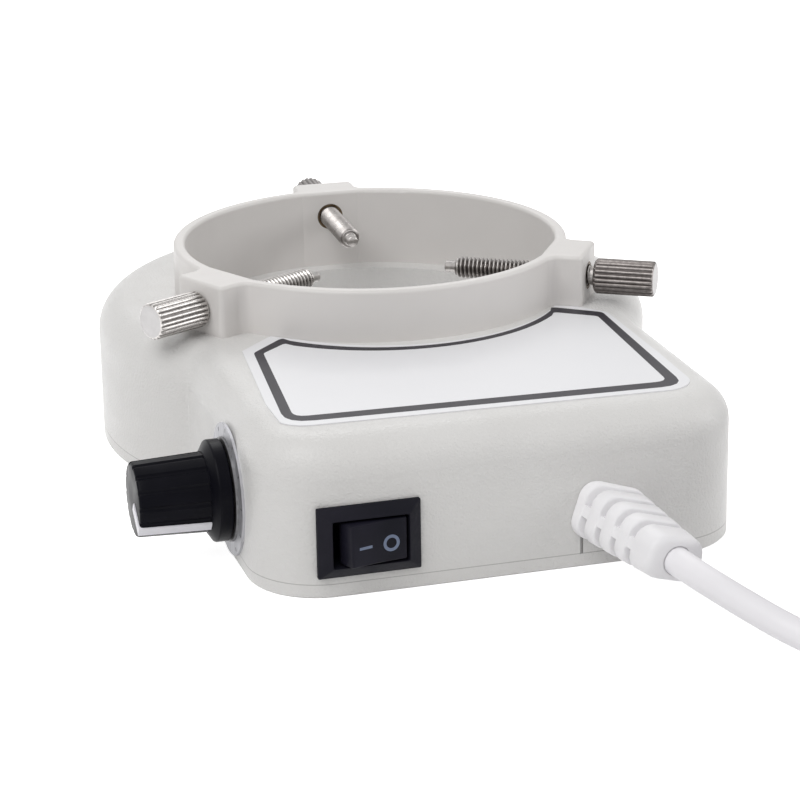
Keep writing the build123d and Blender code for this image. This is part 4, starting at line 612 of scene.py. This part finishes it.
def frame_rings():
    """The switch frame's rings, from the bottom of its pocket out over the rim and back to its body.

    Each row is a size, how far its corners are bent, and its place along Y.
    """
    width, height = BEZEL_SIZE
    flat = (width - 2 * BEZEL_INSETS[0], height - 2 * BEZEL_INSETS[1])
    mouth = (WINDOW_SIZE[0] + 2 * EDGE_BREAK, WINDOW_SIZE[1] + 2 * EDGE_BREAK)
    face = FRONT - BEZEL_PROUD
    rows = ((WINDOW_SIZE, 0.3, POCKET_BACK), (WINDOW_SIZE, 0.3, face + 0.3), (mouth, 0.4, face),
            ((flat[0] - EDGE_BREAK, flat[1] - EDGE_BREAK), 0.3, face),
            ((flat[0] + EDGE_BREAK, flat[1] + EDGE_BREAK), 0.3, face + 0.08),
            ((width - 0.28, height - 0.24), 0.2, face + BEZEL_SLOPE - 0.08),
            (BEZEL_SIZE, 0.25, face + BEZEL_SLOPE + EDGE_BREAK), (BEZEL_SIZE, 0.25, FRONT),
            (BODY_SIZE, 0.3, FRONT), (BODY_SIZE, 0.3, BODY_BACK))
    outlines = [(*box_outline(size, bend).T, y) for size, bend, y in rows]
    return np.stack([grid(SWITCH_X + across, y, SWITCH_Z + up) for across, up, y in outlines])


def on_rocker(along, out, z):
    """Places in the tilted rocker's own frame: along its face, out from its pivot, and height."""
    tilt = math.radians(ROCKER_TILT)
    x = SWITCH_X + along * math.cos(tilt) - out * math.sin(tilt)
    y = ROCKER_PIVOT_Y + along * math.sin(tilt) + out * math.cos(tilt)
    return grid(x, y, SWITCH_Z + z)


def rocker_rings():
    """The rocker's rings from its lower pivot to its upper one; its outline shrinks near both faces."""
    outline = bent_outline(ROCKER_CORNERS, ROCKER_BENDS)
    round_pivot = unit(outline) * PIVOT_RADIUS
    rows = [(PIVOT_REACH, round_pivot), (ROCKER_HALF_HEIGHT, round_pivot)]
    rows += [(ROCKER_HALF_HEIGHT - back, outline * (1 - inset / ROCKER_REACH))
             for back, inset in rounding(ROCKER_ROUNDING, (90, 60, 30, 0))]
    below = [(-z, ring) for z, ring in rows]
    return np.stack([on_rocker(ring[:, 0], ring[:, 1], z) for z, ring in below + rows[::-1]])


def face_out(along):
    """How far the rocker's face stands out at a place along it, read off its own outline."""
    face = bent_outline(ROCKER_CORNERS, ROCKER_BENDS)[4:11]
    return np.interp(along, face[:, 0], face[:, 1])


def band(inner, outer, low, high):
    """The outlines round a band between two outlines and two heights, each with its height."""
    return (outer, low), (outer, high), (inner, high), (inner, low)


def mark_band(inner, outer, place):
    """A printed band on the rocker's face between two outlines, a hair thick."""
    rings = []
    for outline, lift in band(inner, outer, -MARK_SUNK, MARK_LIFT):
        along = place[0] + outline[:, 0]
        rings.append(on_rocker(along, face_out(along) - lift, place[1] + outline[:, 1]))
    return np.stack(rings)


mark_angle = 2 * np.pi * np.arange(MARK_STEPS) / MARK_STEPS
circle = np.stack([np.cos(mark_angle), np.sin(mark_angle)], -1)
bar = box_outline(BAR_SIZE, 0.08)
switch_black = moulded("switch_black", (0.006, 0.006, 0.010), (0.010, 0.0095, 0.015), gloss=(0.42, 0.55),
                       grain=1500.0, depth=0.00005, clouds=150.0, Specular_IOR_Level=0.10)
rocker_black = moulded("rocker_black", (0.005, 0.005, 0.009), (0.009, 0.0085, 0.015), gloss=(0.36, 0.48),
                       grain=1700.0, depth=0.00004, clouds=150.0, Specular_IOR_Level=0.095)
mark_paint = moulded("mark_paint", (0.10, 0.13, 0.20), (0.14, 0.17, 0.25), gloss=(0.5, 0.6), grain=1500.0)
switch_shell = make_piece("switch_shell", [ring_shell(frame_rings())], switch_black, "housing")
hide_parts("switch_frame")
rocker_shell = make_piece("rocker_shell", [ring_shell(rocker_rings())], rocker_black, "rocker")
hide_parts("switch_rocker")
ring_mark = mark_band(circle * RING_RADII[0], circle * RING_RADII[1], RING_PLACE)
bar_mark = mark_band(bar * 0.5, bar, BAR_PLACE)[:3]
make_piece("rocker_marks", [ring_shell(ring_mark, joined=True), ring_shell(bar_mark)], mark_paint,
           "rocker")

# Strain relief
# A soft white sleeve moulded on the cord, tapered and rolled a little as the cord pulls it. Four slots
# on each face leave a web along both sides, a neck and a flange hold it in the housing's wall, and
# at its tip it stands a little off the cord.
RELIEF_PLACE = np.array((14.7, FRONT, 8.3))
RELIEF_YAW = 9.7
RELIEF_DROOP = 2.3
RELIEF_ROLL = -17.9
RELIEF_LENGTH = 19.7
RELIEF_BASE_SIZE = (10.7, 8.9)
RELIEF_TIP_SIZE = (9.3, 6.5)
RELIEF_BEND = 2.6
RELIEF_TURN_LENGTH = 3.0
SLOT_STARTS = (1.55, 5.5, 9.45, 13.4)
SLOT_WIDTH = 1.3
SLOT_LIP = 0.28
SLOT_FADE = ((0.35, 0.0), (0.12, 0.3), (0.0, 1.0))
SLOT_SIDE_DEPTH = 2.1
SLOT_TOP_DEPTH = 0.7
WEB_HALF = 0.85
TIP_ROUNDING = 1.1
MOUTH_RADII = (1.9, 2.25)
MOUTH_DEPTH = 0.22
RELIEF_NECK_RADIUS = 4.0
FLANGE_RADIUS = 4.8
WALL = 2.2
FLANGE_THICKNESS = 1.8


def relief_way():
    """The way the strain relief points: out, a little to the right and down."""
    yaw, droop = math.radians(RELIEF_YAW), math.radians(RELIEF_DROOP)
    return np.array((math.sin(yaw) * math.cos(droop), -math.cos(yaw) * math.cos(droop), -math.sin(droop)))


def relief_section(size, inset=0.0):
    """One section with round corners, as places across and up, with columns at the edges of the webs.

    At a height v the side stands at half the width, less bend - sqrt(bend^2 - rise^2) where the height
    rises into the corner by rise. Above the last height the top runs straight from corner to corner.
    """
    half, top = size[0] / 2 - inset, size[1] / 2 - inset
    web = np.array((-WEB_HALF, -0.4, 0.0, 0.4, WEB_HALF))
    share = np.sin(np.linspace(0, 1, 8) * np.pi / 2)
    foot = WEB_HALF + 0.01
    upper = foot + (top - foot) * share
    v = np.concatenate([-upper[::-1], web, upper])
    rise = np.clip(np.abs(v) - (top - RELIEF_BEND), 0, RELIEF_BEND)
    u = half - RELIEF_BEND + np.sqrt(RELIEF_BEND**2 - rise**2)
    flat = (half - RELIEF_BEND) * np.array((0.5, 0.0, -0.5))
    over = np.stack([flat, np.full(3, top)], -1)
    side = np.stack([u, v], -1)
    return np.concatenate([side, over, -side, -over])


def slotted(section):
    """The same section in a slot: drawn in, deep at the sides and little above and below.

    Across it is scaled by 1 - side depth / half width, and up by 1 - top depth / half height. The webs
    keep their place, and their edges are drawn in across only.
    """
    reach = np.abs(section).max(0)
    core = section * (1 - np.array((SLOT_SIDE_DEPTH, SLOT_TOP_DEPTH)) / reach)
    height = np.abs(section[:, 1:])
    in_web = height < WEB_HALF + 0.005
    at_edge = (height > WEB_HALF + 0.005) & (height < WEB_HALF + 0.015)
    inward = np.stack([core[:, 0], section[:, 1]], -1)
    return np.where(in_web, section, np.where(at_edge, inward, core))


def relief_ring(distance, section):
    """A section set across the sleeve's axis; near the wall it turns to lie in the wall's plane."""
    turn = min(1.0, max(0.0, distance / RELIEF_TURN_LENGTH))
    turn = turn * turn * (3 - 2 * turn)
    way = relief_way() * turn + np.array((0, -1, 0)) * (1 - turn)
    way /= np.linalg.norm(way)
    roll = math.radians(RELIEF_ROLL)
    across = np.array((math.cos(roll), 0, math.sin(roll)))
    across -= way * (across @ way)
    across /= np.linalg.norm(across)
    up = np.cross(way, across)
    middle = RELIEF_PLACE + relief_way() * distance
    return middle + section[:, :1] * across + section[:, 1:] * up


def relief_rings():
    """The sleeve's rings: flange, neck, slotted taper, rounded tip, and a narrow gap round the cord.

    Each row is a distance along the sleeve, how far its section is drawn in, and whether it is in a
    slot. Away from a slot the edge fades out over its lip.
    """
    round_section = unit(relief_section(RELIEF_BASE_SIZE))
    in_wall = ((FLANGE_RADIUS, WALL + FLANGE_THICKNESS), (FLANGE_RADIUS, WALL),
               (RELIEF_NECK_RADIUS, WALL), (RELIEF_NECK_RADIUS, 0))
    rings = [relief_ring(0, round_section * radius) + np.array((0, behind, 0))
             for radius, behind in in_wall]

    def size_at(distance):
        share = distance / RELIEF_LENGTH
        return [a + (b - a) * share for a, b in zip(RELIEF_BASE_SIZE, RELIEF_TIP_SIZE)]

    rows = [(0.0, 0.25, False), (0.25, 0.0, False)]
    for start in SLOT_STARTS:
        end = start + SLOT_WIDTH
        rows += [(start - away, share * SLOT_LIP, False) for away, share in SLOT_FADE]
        rows += [(start, SLOT_LIP, True), (end, SLOT_LIP, True)]
        rows += [(end + away, share * SLOT_LIP, False) for away, share in SLOT_FADE[::-1]]
    rows += [(RELIEF_LENGTH - back, inset, False)
             for back, inset in rounding(TIP_ROUNDING, (0, 20, 40, 60, 80))]
    for distance, inset, in_slot in rows:
        section = relief_section(size_at(distance), inset)
        rings.append(relief_ring(distance, slotted(section) if in_slot else section))
    for radius, depth in band(*MOUTH_RADII, 0.0, MOUTH_DEPTH):
        rings.append(relief_ring(RELIEF_LENGTH - depth, round_section * radius))
    return np.stack(rings)


relief_white = moulded("relief_white", (0.81, 0.80, 0.815), (0.87, 0.86, 0.875), gloss=(0.38, 0.5),
                       grain=800.0, depth=0.00006, Specular_IOR_Level=0.4)
relief_shell = make_piece("relief_shell", [ring_shell(relief_rings())], relief_white, "housing")
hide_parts("strain_relief")

# Bottom cover
# A flat moulding of the same plastic with a round window for the lamps, held by four screws from below.
# Its lip sits inside the housing, so the two outer faces run on into each other at the parting line.
wear(["bottom_cover"], housing_plastic)
wear(["cover_screws"], screw_steel)

# Collar
# A separate ring, a little warmer and smoother than the housing, bonded on its spigot. Three bosses
# hold pressed-in brass inserts, which carry the clamping screws.
wear(["collar_ring"],
     moulded("collar_plastic", (0.66, 0.638, 0.620), (0.70, 0.677, 0.66), gloss=(0.34, 0.44), grain=650.0,
             depth=0.00002, clouds=35.0, Specular_IOR_Level=0.42))
wear(["thread_inserts"],
     plated("insert_brass", (0.08, 0.055, 0.035), (0.16, 0.12, 0.08), gloss=(0.4, 0.55)))

# Clamping screws
# Three nickel-plated studs with a fine thread and a dog point, each pressed into a straight-knurled
# head. They are turned from bar, so the thread is one helix and the knurl is rolled along the head.
# The left screw has the plain nickel; the rear and right ones have darker copies of it as painted shade.
SCREW_HEIGHT = 27.8
SCREW_TURNS = {1: 87.8, 2: 207.8, 3: 327.8}
SCREW_SHIFTS = {1: 0.0, 2: -0.6, 3: 0.45}
STUD_TIP = 12.75
DOG_RADIUS = 0.95
DOG_LENGTH = 1.9
DOG_BREAK = 0.15
THREAD_CREST = 1.8
THREAD_ROOT = 1.4
THREAD_PITCH = 0.7
THREAD_FLAT = 0.15
THREAD_BREAK = 0.1
THREAD_SHADE = 0.9
THREAD_END = 37.6
STUD_CLEARANCE = 0.05
STUD_NECK_RADIUS = 1.6
HEAD_START = 38.35
HEAD_LENGTH = 10.0
HEAD_RADIUS = 2.95
HEAD_CHAMFER = 0.4
HEAD_FRONT_EDGE = ((0.0, 0.0), (0.2, 0.22), (0.45, 0.4), (1.2, 0.4), (5.0, 0.4))
HEAD_END_EDGE = ((1.2, 0.4), (0.32, 0.4), (0.16, 0.26), (0.05, 0.1), (0.0, 0.0))
HEAD_BORE = 1.65
HEAD_BORE_DEPTH = 5.0
KNURL_TEETH = 22
KNURL_DEPTH = 0.28
ROWS_PER_PITCH = 9
STUD_COLUMNS = 36
TOOTH_COLUMNS = 8


def plan_way(angle):
    """A level unit vector at an angle from +X, in degrees."""
    return np.array((math.cos(math.radians(angle)), math.sin(math.radians(angle))))


def along_screw(number, x, radius, angle):
    """Places on a screw: x along its axis from the ring's middle, and a radius at an angle round it."""
    turn = math.radians(SCREW_TURNS[number])
    x = x + SCREW_SHIFTS[number]
    aside, up = radius * np.cos(angle), radius * np.sin(angle)
    return grid(x * math.cos(turn) - aside * math.sin(turn),
                x * math.sin(turn) + aside * math.cos(turn), SCREW_HEIGHT + up)


def stud_shape():
    """A stud's rows along its axis and its radius on each, with how deep in the thread each place is.

    The radius is the root plus the depth times a wave of 0 to 1: a triangle of the fraction of
    x / pitch - angle / full turn, cut flat near both ends, which makes one right-handed helix. It fades
    in over the first pitch and out over the last.
    """
    angle = 2 * np.pi * np.arange(STUD_COLUMNS) / STUD_COLUMNS
    start = STUD_TIP + DOG_LENGTH
    count = round((THREAD_END - start) / THREAD_PITCH * ROWS_PER_PITCH)
    x = np.linspace(start, THREAD_END, count + 1)[:, None]
    phase = (x / THREAD_PITCH - angle / (2 * np.pi)) % 1.0
    wave = np.clip((1 + 2 * THREAD_FLAT) * np.abs(2 * phase - 1) - THREAD_FLAT, 0, 1)
    fade = np.clip((x - start) / THREAD_PITCH, 0, 1) * np.clip((THREAD_END - x) / THREAD_PITCH, 0, 1)
    thread = THREAD_ROOT + (THREAD_CREST - THREAD_ROOT) * wave * fade
    rows = [(STUD_TIP, DOG_RADIUS - DOG_BREAK), (STUD_TIP + DOG_BREAK, DOG_RADIUS),
            (start - THREAD_BREAK, DOG_RADIUS), (start, DOG_RADIUS + THREAD_BREAK),
            *zip(x[:, 0], thread), (THREAD_END, STUD_NECK_RADIUS),
            (HEAD_START + HEAD_BORE_DEPTH - STUD_CLEARANCE, STUD_NECK_RADIUS)]
    x, radius = places_and_radii(rows)
    hollow = np.zeros_like(radius)
    # Painted shade in the thread's grooves: the hollow value follows the thread's wave.
    hollow[4:-2] = np.clip(1 - wave, 0, 1) * THREAD_SHADE
    return x, radius, angle, hollow


def head_shape():
    """A head's rows and radii, from the bottom of its bore out over the knurl to its flat end.

    The knurl's radius is the outer radius less depth * (1 - |cos(teeth * angle / 2)|), which gives
    round ridges and sharp grooves. It is nowhere more than the two edges allow, each a list of
    distances from its end and heights over the rim.
    """
    columns = KNURL_TEETH * TOOTH_COLUMNS
    angle = 2 * np.pi * (np.arange(columns) + 0.5) / columns
    valley = 1 - np.abs(np.cos(KNURL_TEETH * angle / 2))
    knurl = HEAD_RADIUS - KNURL_DEPTH * valley
    end = HEAD_START + HEAD_LENGTH
    rim = HEAD_RADIUS - HEAD_CHAMFER
    rows = [(HEAD_START + HEAD_BORE_DEPTH, HEAD_BORE), (HEAD_START, HEAD_BORE)]
    rows += [(HEAD_START + x, np.minimum(knurl, rim + rise)) for x, rise in HEAD_FRONT_EDGE]
    rows += [(end - x, np.minimum(knurl, rim + rise)) for x, rise in HEAD_END_EDGE]
    rows.append((end, np.minimum(knurl, 0.6 * rim)))
    x, radius = places_and_radii(rows)
    hollow = np.zeros_like(radius)
    # Painted shade in the knurl's grooves.
    hollow[4:10] = valley
    return x, radius, angle, hollow


def make_turned(name, number, shape, plating, body, crease):
    """One turned part of a screw, from its places, radii, angles and hollow values."""
    x, radius, angle, hollow = shape
    shell = ring_shell(along_screw(number, x, radius, angle))
    return make_piece(f"{name}_{number}", [shell], plating, f"{body}_{number}",
                      crease=crease, hollow=np.append(hollow, (0, 0)))


def face_end(piece, number, material):
    """Gives a material to the flat end of a head: the faces that look out along the screw."""
    mesh = piece.data
    mesh.materials.append(material)
    normals = np.empty(3 * len(mesh.polygons), np.float32)
    mesh.polygons.foreach_get("normal", normals)
    outwards = np.append(plan_way(SCREW_TURNS[number]), 0)
    faces_out = normals.reshape(-1, 3) @ outwards > 0.99
    mesh.polygons.foreach_set("material_index", faces_out.astype(np.int32))


nickel_plate = plated("nickel_plate", (0.50, 0.48, 0.465), (0.66, 0.64, 0.62), groove_shade=(0.03, 0.024, 0.022),
                      gloss=(0.22, 0.34), marks=1400.0, depth=0.00002)
nickel_face = plated("nickel_face", (0.48, 0.47, 0.47), (0.52, 0.51, 0.51), gloss=(0.5, 0.56),
                     marks=500.0, depth=0.000004)
# Painted shade: darker copies of the nickel for the rear and right screws, whose reflections are darker.
shaded_stud_nickel = plated("shaded_stud_nickel", (0.36, 0.34, 0.33), (0.48, 0.46, 0.445), groove_shade=(0.06, 0.05, 0.047),
                      gloss=(0.26, 0.38), marks=1400.0, depth=0.00002)
shaded_head_nickel = plated("shaded_head_nickel", (0.17, 0.155, 0.15), (0.27, 0.25, 0.24), groove_shade=(0.045, 0.037, 0.035),
                     gloss=(0.28, 0.40), marks=1400.0, depth=0.00002)
stud_platings = {1: shaded_stud_nickel, 2: nickel_plate, 3: shaded_stud_nickel}
head_platings = {1: shaded_head_nickel, 2: nickel_plate, 3: shaded_head_nickel}
for number in (1, 2, 3):
    stud = make_turned("stud_thread", number, stud_shape(), stud_platings[number], "stud", 50.0)
    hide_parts(f"thumb_stud_{number}")
    head = make_turned("head_knurl", number, head_shape(), head_platings[number], "head", 32.0)
    face_end(head, number, nickel_face)
    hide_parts(f"thumb_head_{number}")

# Label
# A white film stuck on the box's top, with a broad dark line printed round it and nothing inside.
LABEL_FACE = 23.95
PRINT_PROUD = 0.015
PRINT_SUNK = 0.05
BORDER_OUTER = ((-22.16, -25.64), (-27.83, -31.39), (-31.23, -65.35), (29.84, -67.81), (31.12, -28.59),
                (24.57, -23.53))
BORDER_INNER = ((-22.30, -28.37), (-26.43, -32.05), (-29.42, -63.09), (28.07, -65.19), (29.63, -30.43),
                (23.95, -26.29))
OUTER_BENDS = (0.5, 0.8, 4.3, 3.9, 0.9, 0.5)
INNER_BENDS = (0.4, 0.6, 2.2, 2.0, 0.6, 0.4)
OUTER_ARC = (0.0, -36.43)
INNER_ARC = (0.0, -37.90)
ARC_STEPS = 28


def label_outline(corners, bends, arc_middle):
    """The label's outline: bent corners, closed along the back by a circle's arc.

    The arc runs from the last corner to the first through its middle. With half chord a and sagitta s
    the radius is (a^2 + s^2) / (2 s), and its places are equal steps of the angle about its centre.
    """
    corners = np.asarray(corners, float)
    start, end = corners[-1], corners[0]
    chord = end - start
    half = np.linalg.norm(chord) / 2
    across = chord / (2 * half)
    square = np.array((across[1], -across[0]))
    sagitta = (arc_middle - (start + end) / 2) @ square
    radius = (half**2 + sagitta**2) / (2 * sagitta)
    centre = (start + end) / 2 + square * (sagitta - radius)
    t = np.linspace(-1, 1, ARC_STEPS)[1:-1, None] * math.atan2(half, abs(radius - sagitta))
    arc = centre + np.sin(t) * abs(radius) * across + np.cos(t) * radius * square
    return np.concatenate([bent_outline(corners, bends), arc])


def label_print():
    """The printed line as a closed band between its two outlines."""
    outer = label_outline(BORDER_OUTER, OUTER_BENDS, OUTER_ARC)
    inner = label_outline(BORDER_INNER, INNER_BENDS, INNER_ARC)
    rows = band(inner, outer, LABEL_FACE - PRINT_SUNK, LABEL_FACE + PRINT_PROUD)
    return np.stack([grid(*outline.T, z) for outline, z in rows])


label_ink = moulded("label_ink", (0.020, 0.018, 0.025), (0.025, 0.0225, 0.031), gloss=(0.32, 0.36),
                    grain=120.0, depth=0.000003, clouds=90.0, Specular_IOR_Level=0.14)
wear(["label_sheet"],
     moulded("label_film", (0.76, 0.76, 0.78), (0.775, 0.775, 0.795), gloss=(0.30, 0.34), grain=120.0,
             depth=0.000003, clouds=25.0))
make_piece("label_line", [ring_shell(label_print(), joined=True)], label_ink, "housing")

# Mains cord
# A thin round two-core lead in a soft white sheath, 1.5 m with its ends. It hangs just over the table
# up to its coil, wound from the spare length and held by a strap, with the plug beside it.
CORD_RADIUS = 2.1
COIL_CENTRE = np.array((64.4, -118.1))
COIL_RADIUS = 29.8
COIL_PITCH = 4.75
COIL_BASE = 3.0
COIL_ANGLE = 212.0
COIL_LAST_ARC = 148.0
COIL_ORDER = (0, 1, 2, 1, 0, 1, 2, 1, 0)
POINTS_PER_HALF = 8
FALL_POINT = (26.9, -117.6, 4.0)
PLUG_ROUTE = ((94.2, -104.4, 17.25), (93.0, -90.4, 11.9), (93.6, -77.0, 6.5), (94.2, -67.5, 6.5))


def coil_points():
    """Points round the coil in half turns whose middles alternate; some half turns climb a layer."""
    points = []
    z = COIL_BASE
    axis = plan_way(COIL_ANGLE + 180)
    pull = math.cos(math.pi / (2 * POINTS_PER_HALF))
    halves = []
    for i, ring in enumerate(COIL_ORDER):
        radius = COIL_RADIUS - ring * COIL_PITCH
        climbs = 0 < i < len(COIL_ORDER) - 1 and i % 2 == 0
        halves.append((COIL_CENTRE, radius, COIL_ANGLE, climbs))
        if i < len(COIL_ORDER) - 1:
            after = COIL_RADIUS - COIL_ORDER[i + 1] * COIL_PITCH
            centre = COIL_CENTRE + axis * (radius - after) / 2
            halves.append((centre, (radius + after) / 2, COIL_ANGLE + 180, False))
    for count, (centre, radius, start, climbs) in enumerate(halves):
        arc = COIL_LAST_ARC if count == len(halves) - 1 else 180
        steps = round(POINTS_PER_HALF * arc / 180)
        for k in range(steps):
            share = (k + 0.5) / steps
            place = centre + plan_way(start + arc * share) * radius / pull
            rise = COIL_PITCH * (1 - math.cos(math.pi * share)) / 2 if climbs else 0
            points.append((*place, z + rise))
        z += COIL_PITCH if climbs else 0
    return points


def cord_points():
    """The whole line's points: the free stretch to the coil, the coil, and the end to the plug."""
    way = relief_way()
    ahead = plan_way(COIL_ANGLE + 90)
    straight = COIL_CENTRE + plan_way(COIL_ANGLE) * COIL_RADIUS - ahead * 2 * CORD_RADIUS
    before = straight - ahead * 8.0
    route = [RELIEF_PLACE + way * RELIEF_LENGTH, RELIEF_PLACE + way * (RELIEF_LENGTH + 6.0), FALL_POINT,
             (*before, COIL_BASE), (*straight, COIL_BASE)]
    coil_end = COIL_CENTRE + plan_way(COIL_ANGLE + COIL_LAST_ARC) * COIL_RADIUS
    route += coil_points()
    route.append((coil_end[0], coil_end[1] + 2 * CORD_RADIUS, COIL_BASE + 3 * COIL_PITCH))
    route += PLUG_ROUTE
    return np.array(route) * MM


cord_white = moulded("cord_sheath", (0.82, 0.805, 0.83), (0.87, 0.855, 0.88), gloss=(0.34, 0.46),
                     grain=420.0, depth=0.00002, clouds=60.0, Specular_IOR_Level=0.4)
cord_data = bpy.data.curves.new("mains_cord", "CURVE")
cord_data.dimensions = "3D"
cord_data.bevel_depth = CORD_RADIUS * MM
cord_data.bevel_resolution = 6
cord_data.resolution_u = 6
cord_data.use_fill_caps = True
line = cord_points()
spline = cord_data.splines.new("NURBS")
spline.points.add(len(line) - 1)
spline.points.foreach_set("co", np.concatenate([line, np.ones((len(line), 1))], 1).ravel())
spline.order_u = 3
spline.use_endpoint_u = True
cord_data.materials.append(cord_white)
cord = add_object("mains_cord", cord_data)
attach(cord, "housing")
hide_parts("cord_from_lamp", "cord_coil", "cord_to_plug")
wear(["cord_inner_end"], cord_white)

# Strap and plug
# A ribbed black strap ties the coil. The plug is a moulding of the sheath's own plastic with two flat
# brass blades, nickel-plated, and a ringed sleeve where the cord enters it.
wear(["cord_tie"],
     moulded("tie_strap", (0.03, 0.03, 0.033), (0.05, 0.05, 0.055), gloss=(0.45, 0.6), grain=1500.0,
             depth=0.00008, clouds=150.0))
wear(["plug_body"], cord_white)
wear(["plug_blades"],
     plated("blade_brass", (0.56, 0.53, 0.47), (0.70, 0.67, 0.61), gloss=(0.22, 0.34),
            stretch=(1.0, 0.1, 1.0)))

# Table, light and camera
# A pale sheet under the lamp and a soft studio: a large light from the upper left, two weaker ones, and
# an even pale sky. The background is white for the camera and for reflections only.
TABLE_COLOUR = (0.86, 0.86, 0.86, 1)
TABLE_GLOW = 0.8
SKY_STRENGTH = 0.435
LIGHT_TARGET = (0, -0.03, 0.02)
LIGHTS = (("key_light", (-0.45, -0.35, 0.75), 0.7, 4.4), ("side_light", (0.8, -0.30, 0.34), 0.5, 2.2),
          ("back_light", (0.1, 0.8, 0.7), 0.5, 1.8))
CAMERA_PLACE = (-0.119474, -0.433100, 0.155263)
CAMERA_RIGHT = (0.959651, -0.280787, -0.015124)
CAMERA_UP = (0.103904, 0.304112, 0.946953)
CAMERA_BACK = (-0.261293, -0.910316, 0.321017)
CAMERA_LENS = 124.388


def seen_directly(tree):
    """A value of 1 for camera, glossy and transmission rays, and of 0 for the rays that light things."""
    path = tree.nodes.new("ShaderNodeLightPath")
    total = path.outputs["Is Camera Ray"]
    for label in ("Is Glossy Ray", "Is Transmission Ray"):
        total = calculate(tree, "ADD", total, path.outputs[label])
    return total


def soft_light(name, place, size, power):
    """A square soft light that points at the lamp."""
    data = bpy.data.lights.new(name, "AREA")
    data.size = size
    data.energy = power
    aim = Vector(LIGHT_TARGET) - Vector(place)
    turn = aim.to_track_quat("-Z", "Y").to_matrix().to_4x4()
    add_object(name, data).matrix_world = Matrix.Translation(place) @ turn


table_paper, tree, paper, _ = start_material("table_paper", Base_Color=TABLE_COLOUR, Roughness=0.9,
                                             Specular_IOR_Level=0.1, Emission_Color=(1, 1, 1, 1))
connect(tree, spread(tree, seen_directly(tree), 0.0, TABLE_GLOW, (0, 1)),
        paper.inputs["Emission Strength"])
table_mesh = bpy.data.meshes.new("table")
table_mesh.from_pydata([(-3, -3, 0), (3, -3, 0), (3, 3, 0), (-3, 3, 0)], [], [(0, 1, 2, 3)])
table_mesh.materials.append(table_paper)
table = add_object("table", table_mesh)

sky = bpy.data.worlds.new("studio")
sky.use_nodes = True
tree = sky.node_tree
backdrop = tree.nodes["Background"].inputs
backdrop["Color"].default_value = (1, 1, 1, 1)
connect(tree, spread(tree, seen_directly(tree), SKY_STRENGTH, 1.0, (0, 1)), backdrop["Strength"])
bpy.context.scene.world = sky
for light in LIGHTS:
    soft_light(*light)

camera_data = bpy.data.cameras.new("camera")
camera_data.lens = CAMERA_LENS
camera_data.sensor_width = 36.0
camera_data.clip_start = 0.01
camera_data.clip_end = 20
camera = add_object("camera", camera_data)
turn = Matrix((CAMERA_RIGHT, CAMERA_UP, CAMERA_BACK)).transposed().to_4x4()
camera.matrix_world = Matrix.Translation(CAMERA_PLACE) @ turn
bpy.context.scene.camera = camera
bpy.context.scene.view_settings.view_transform = "Standard"
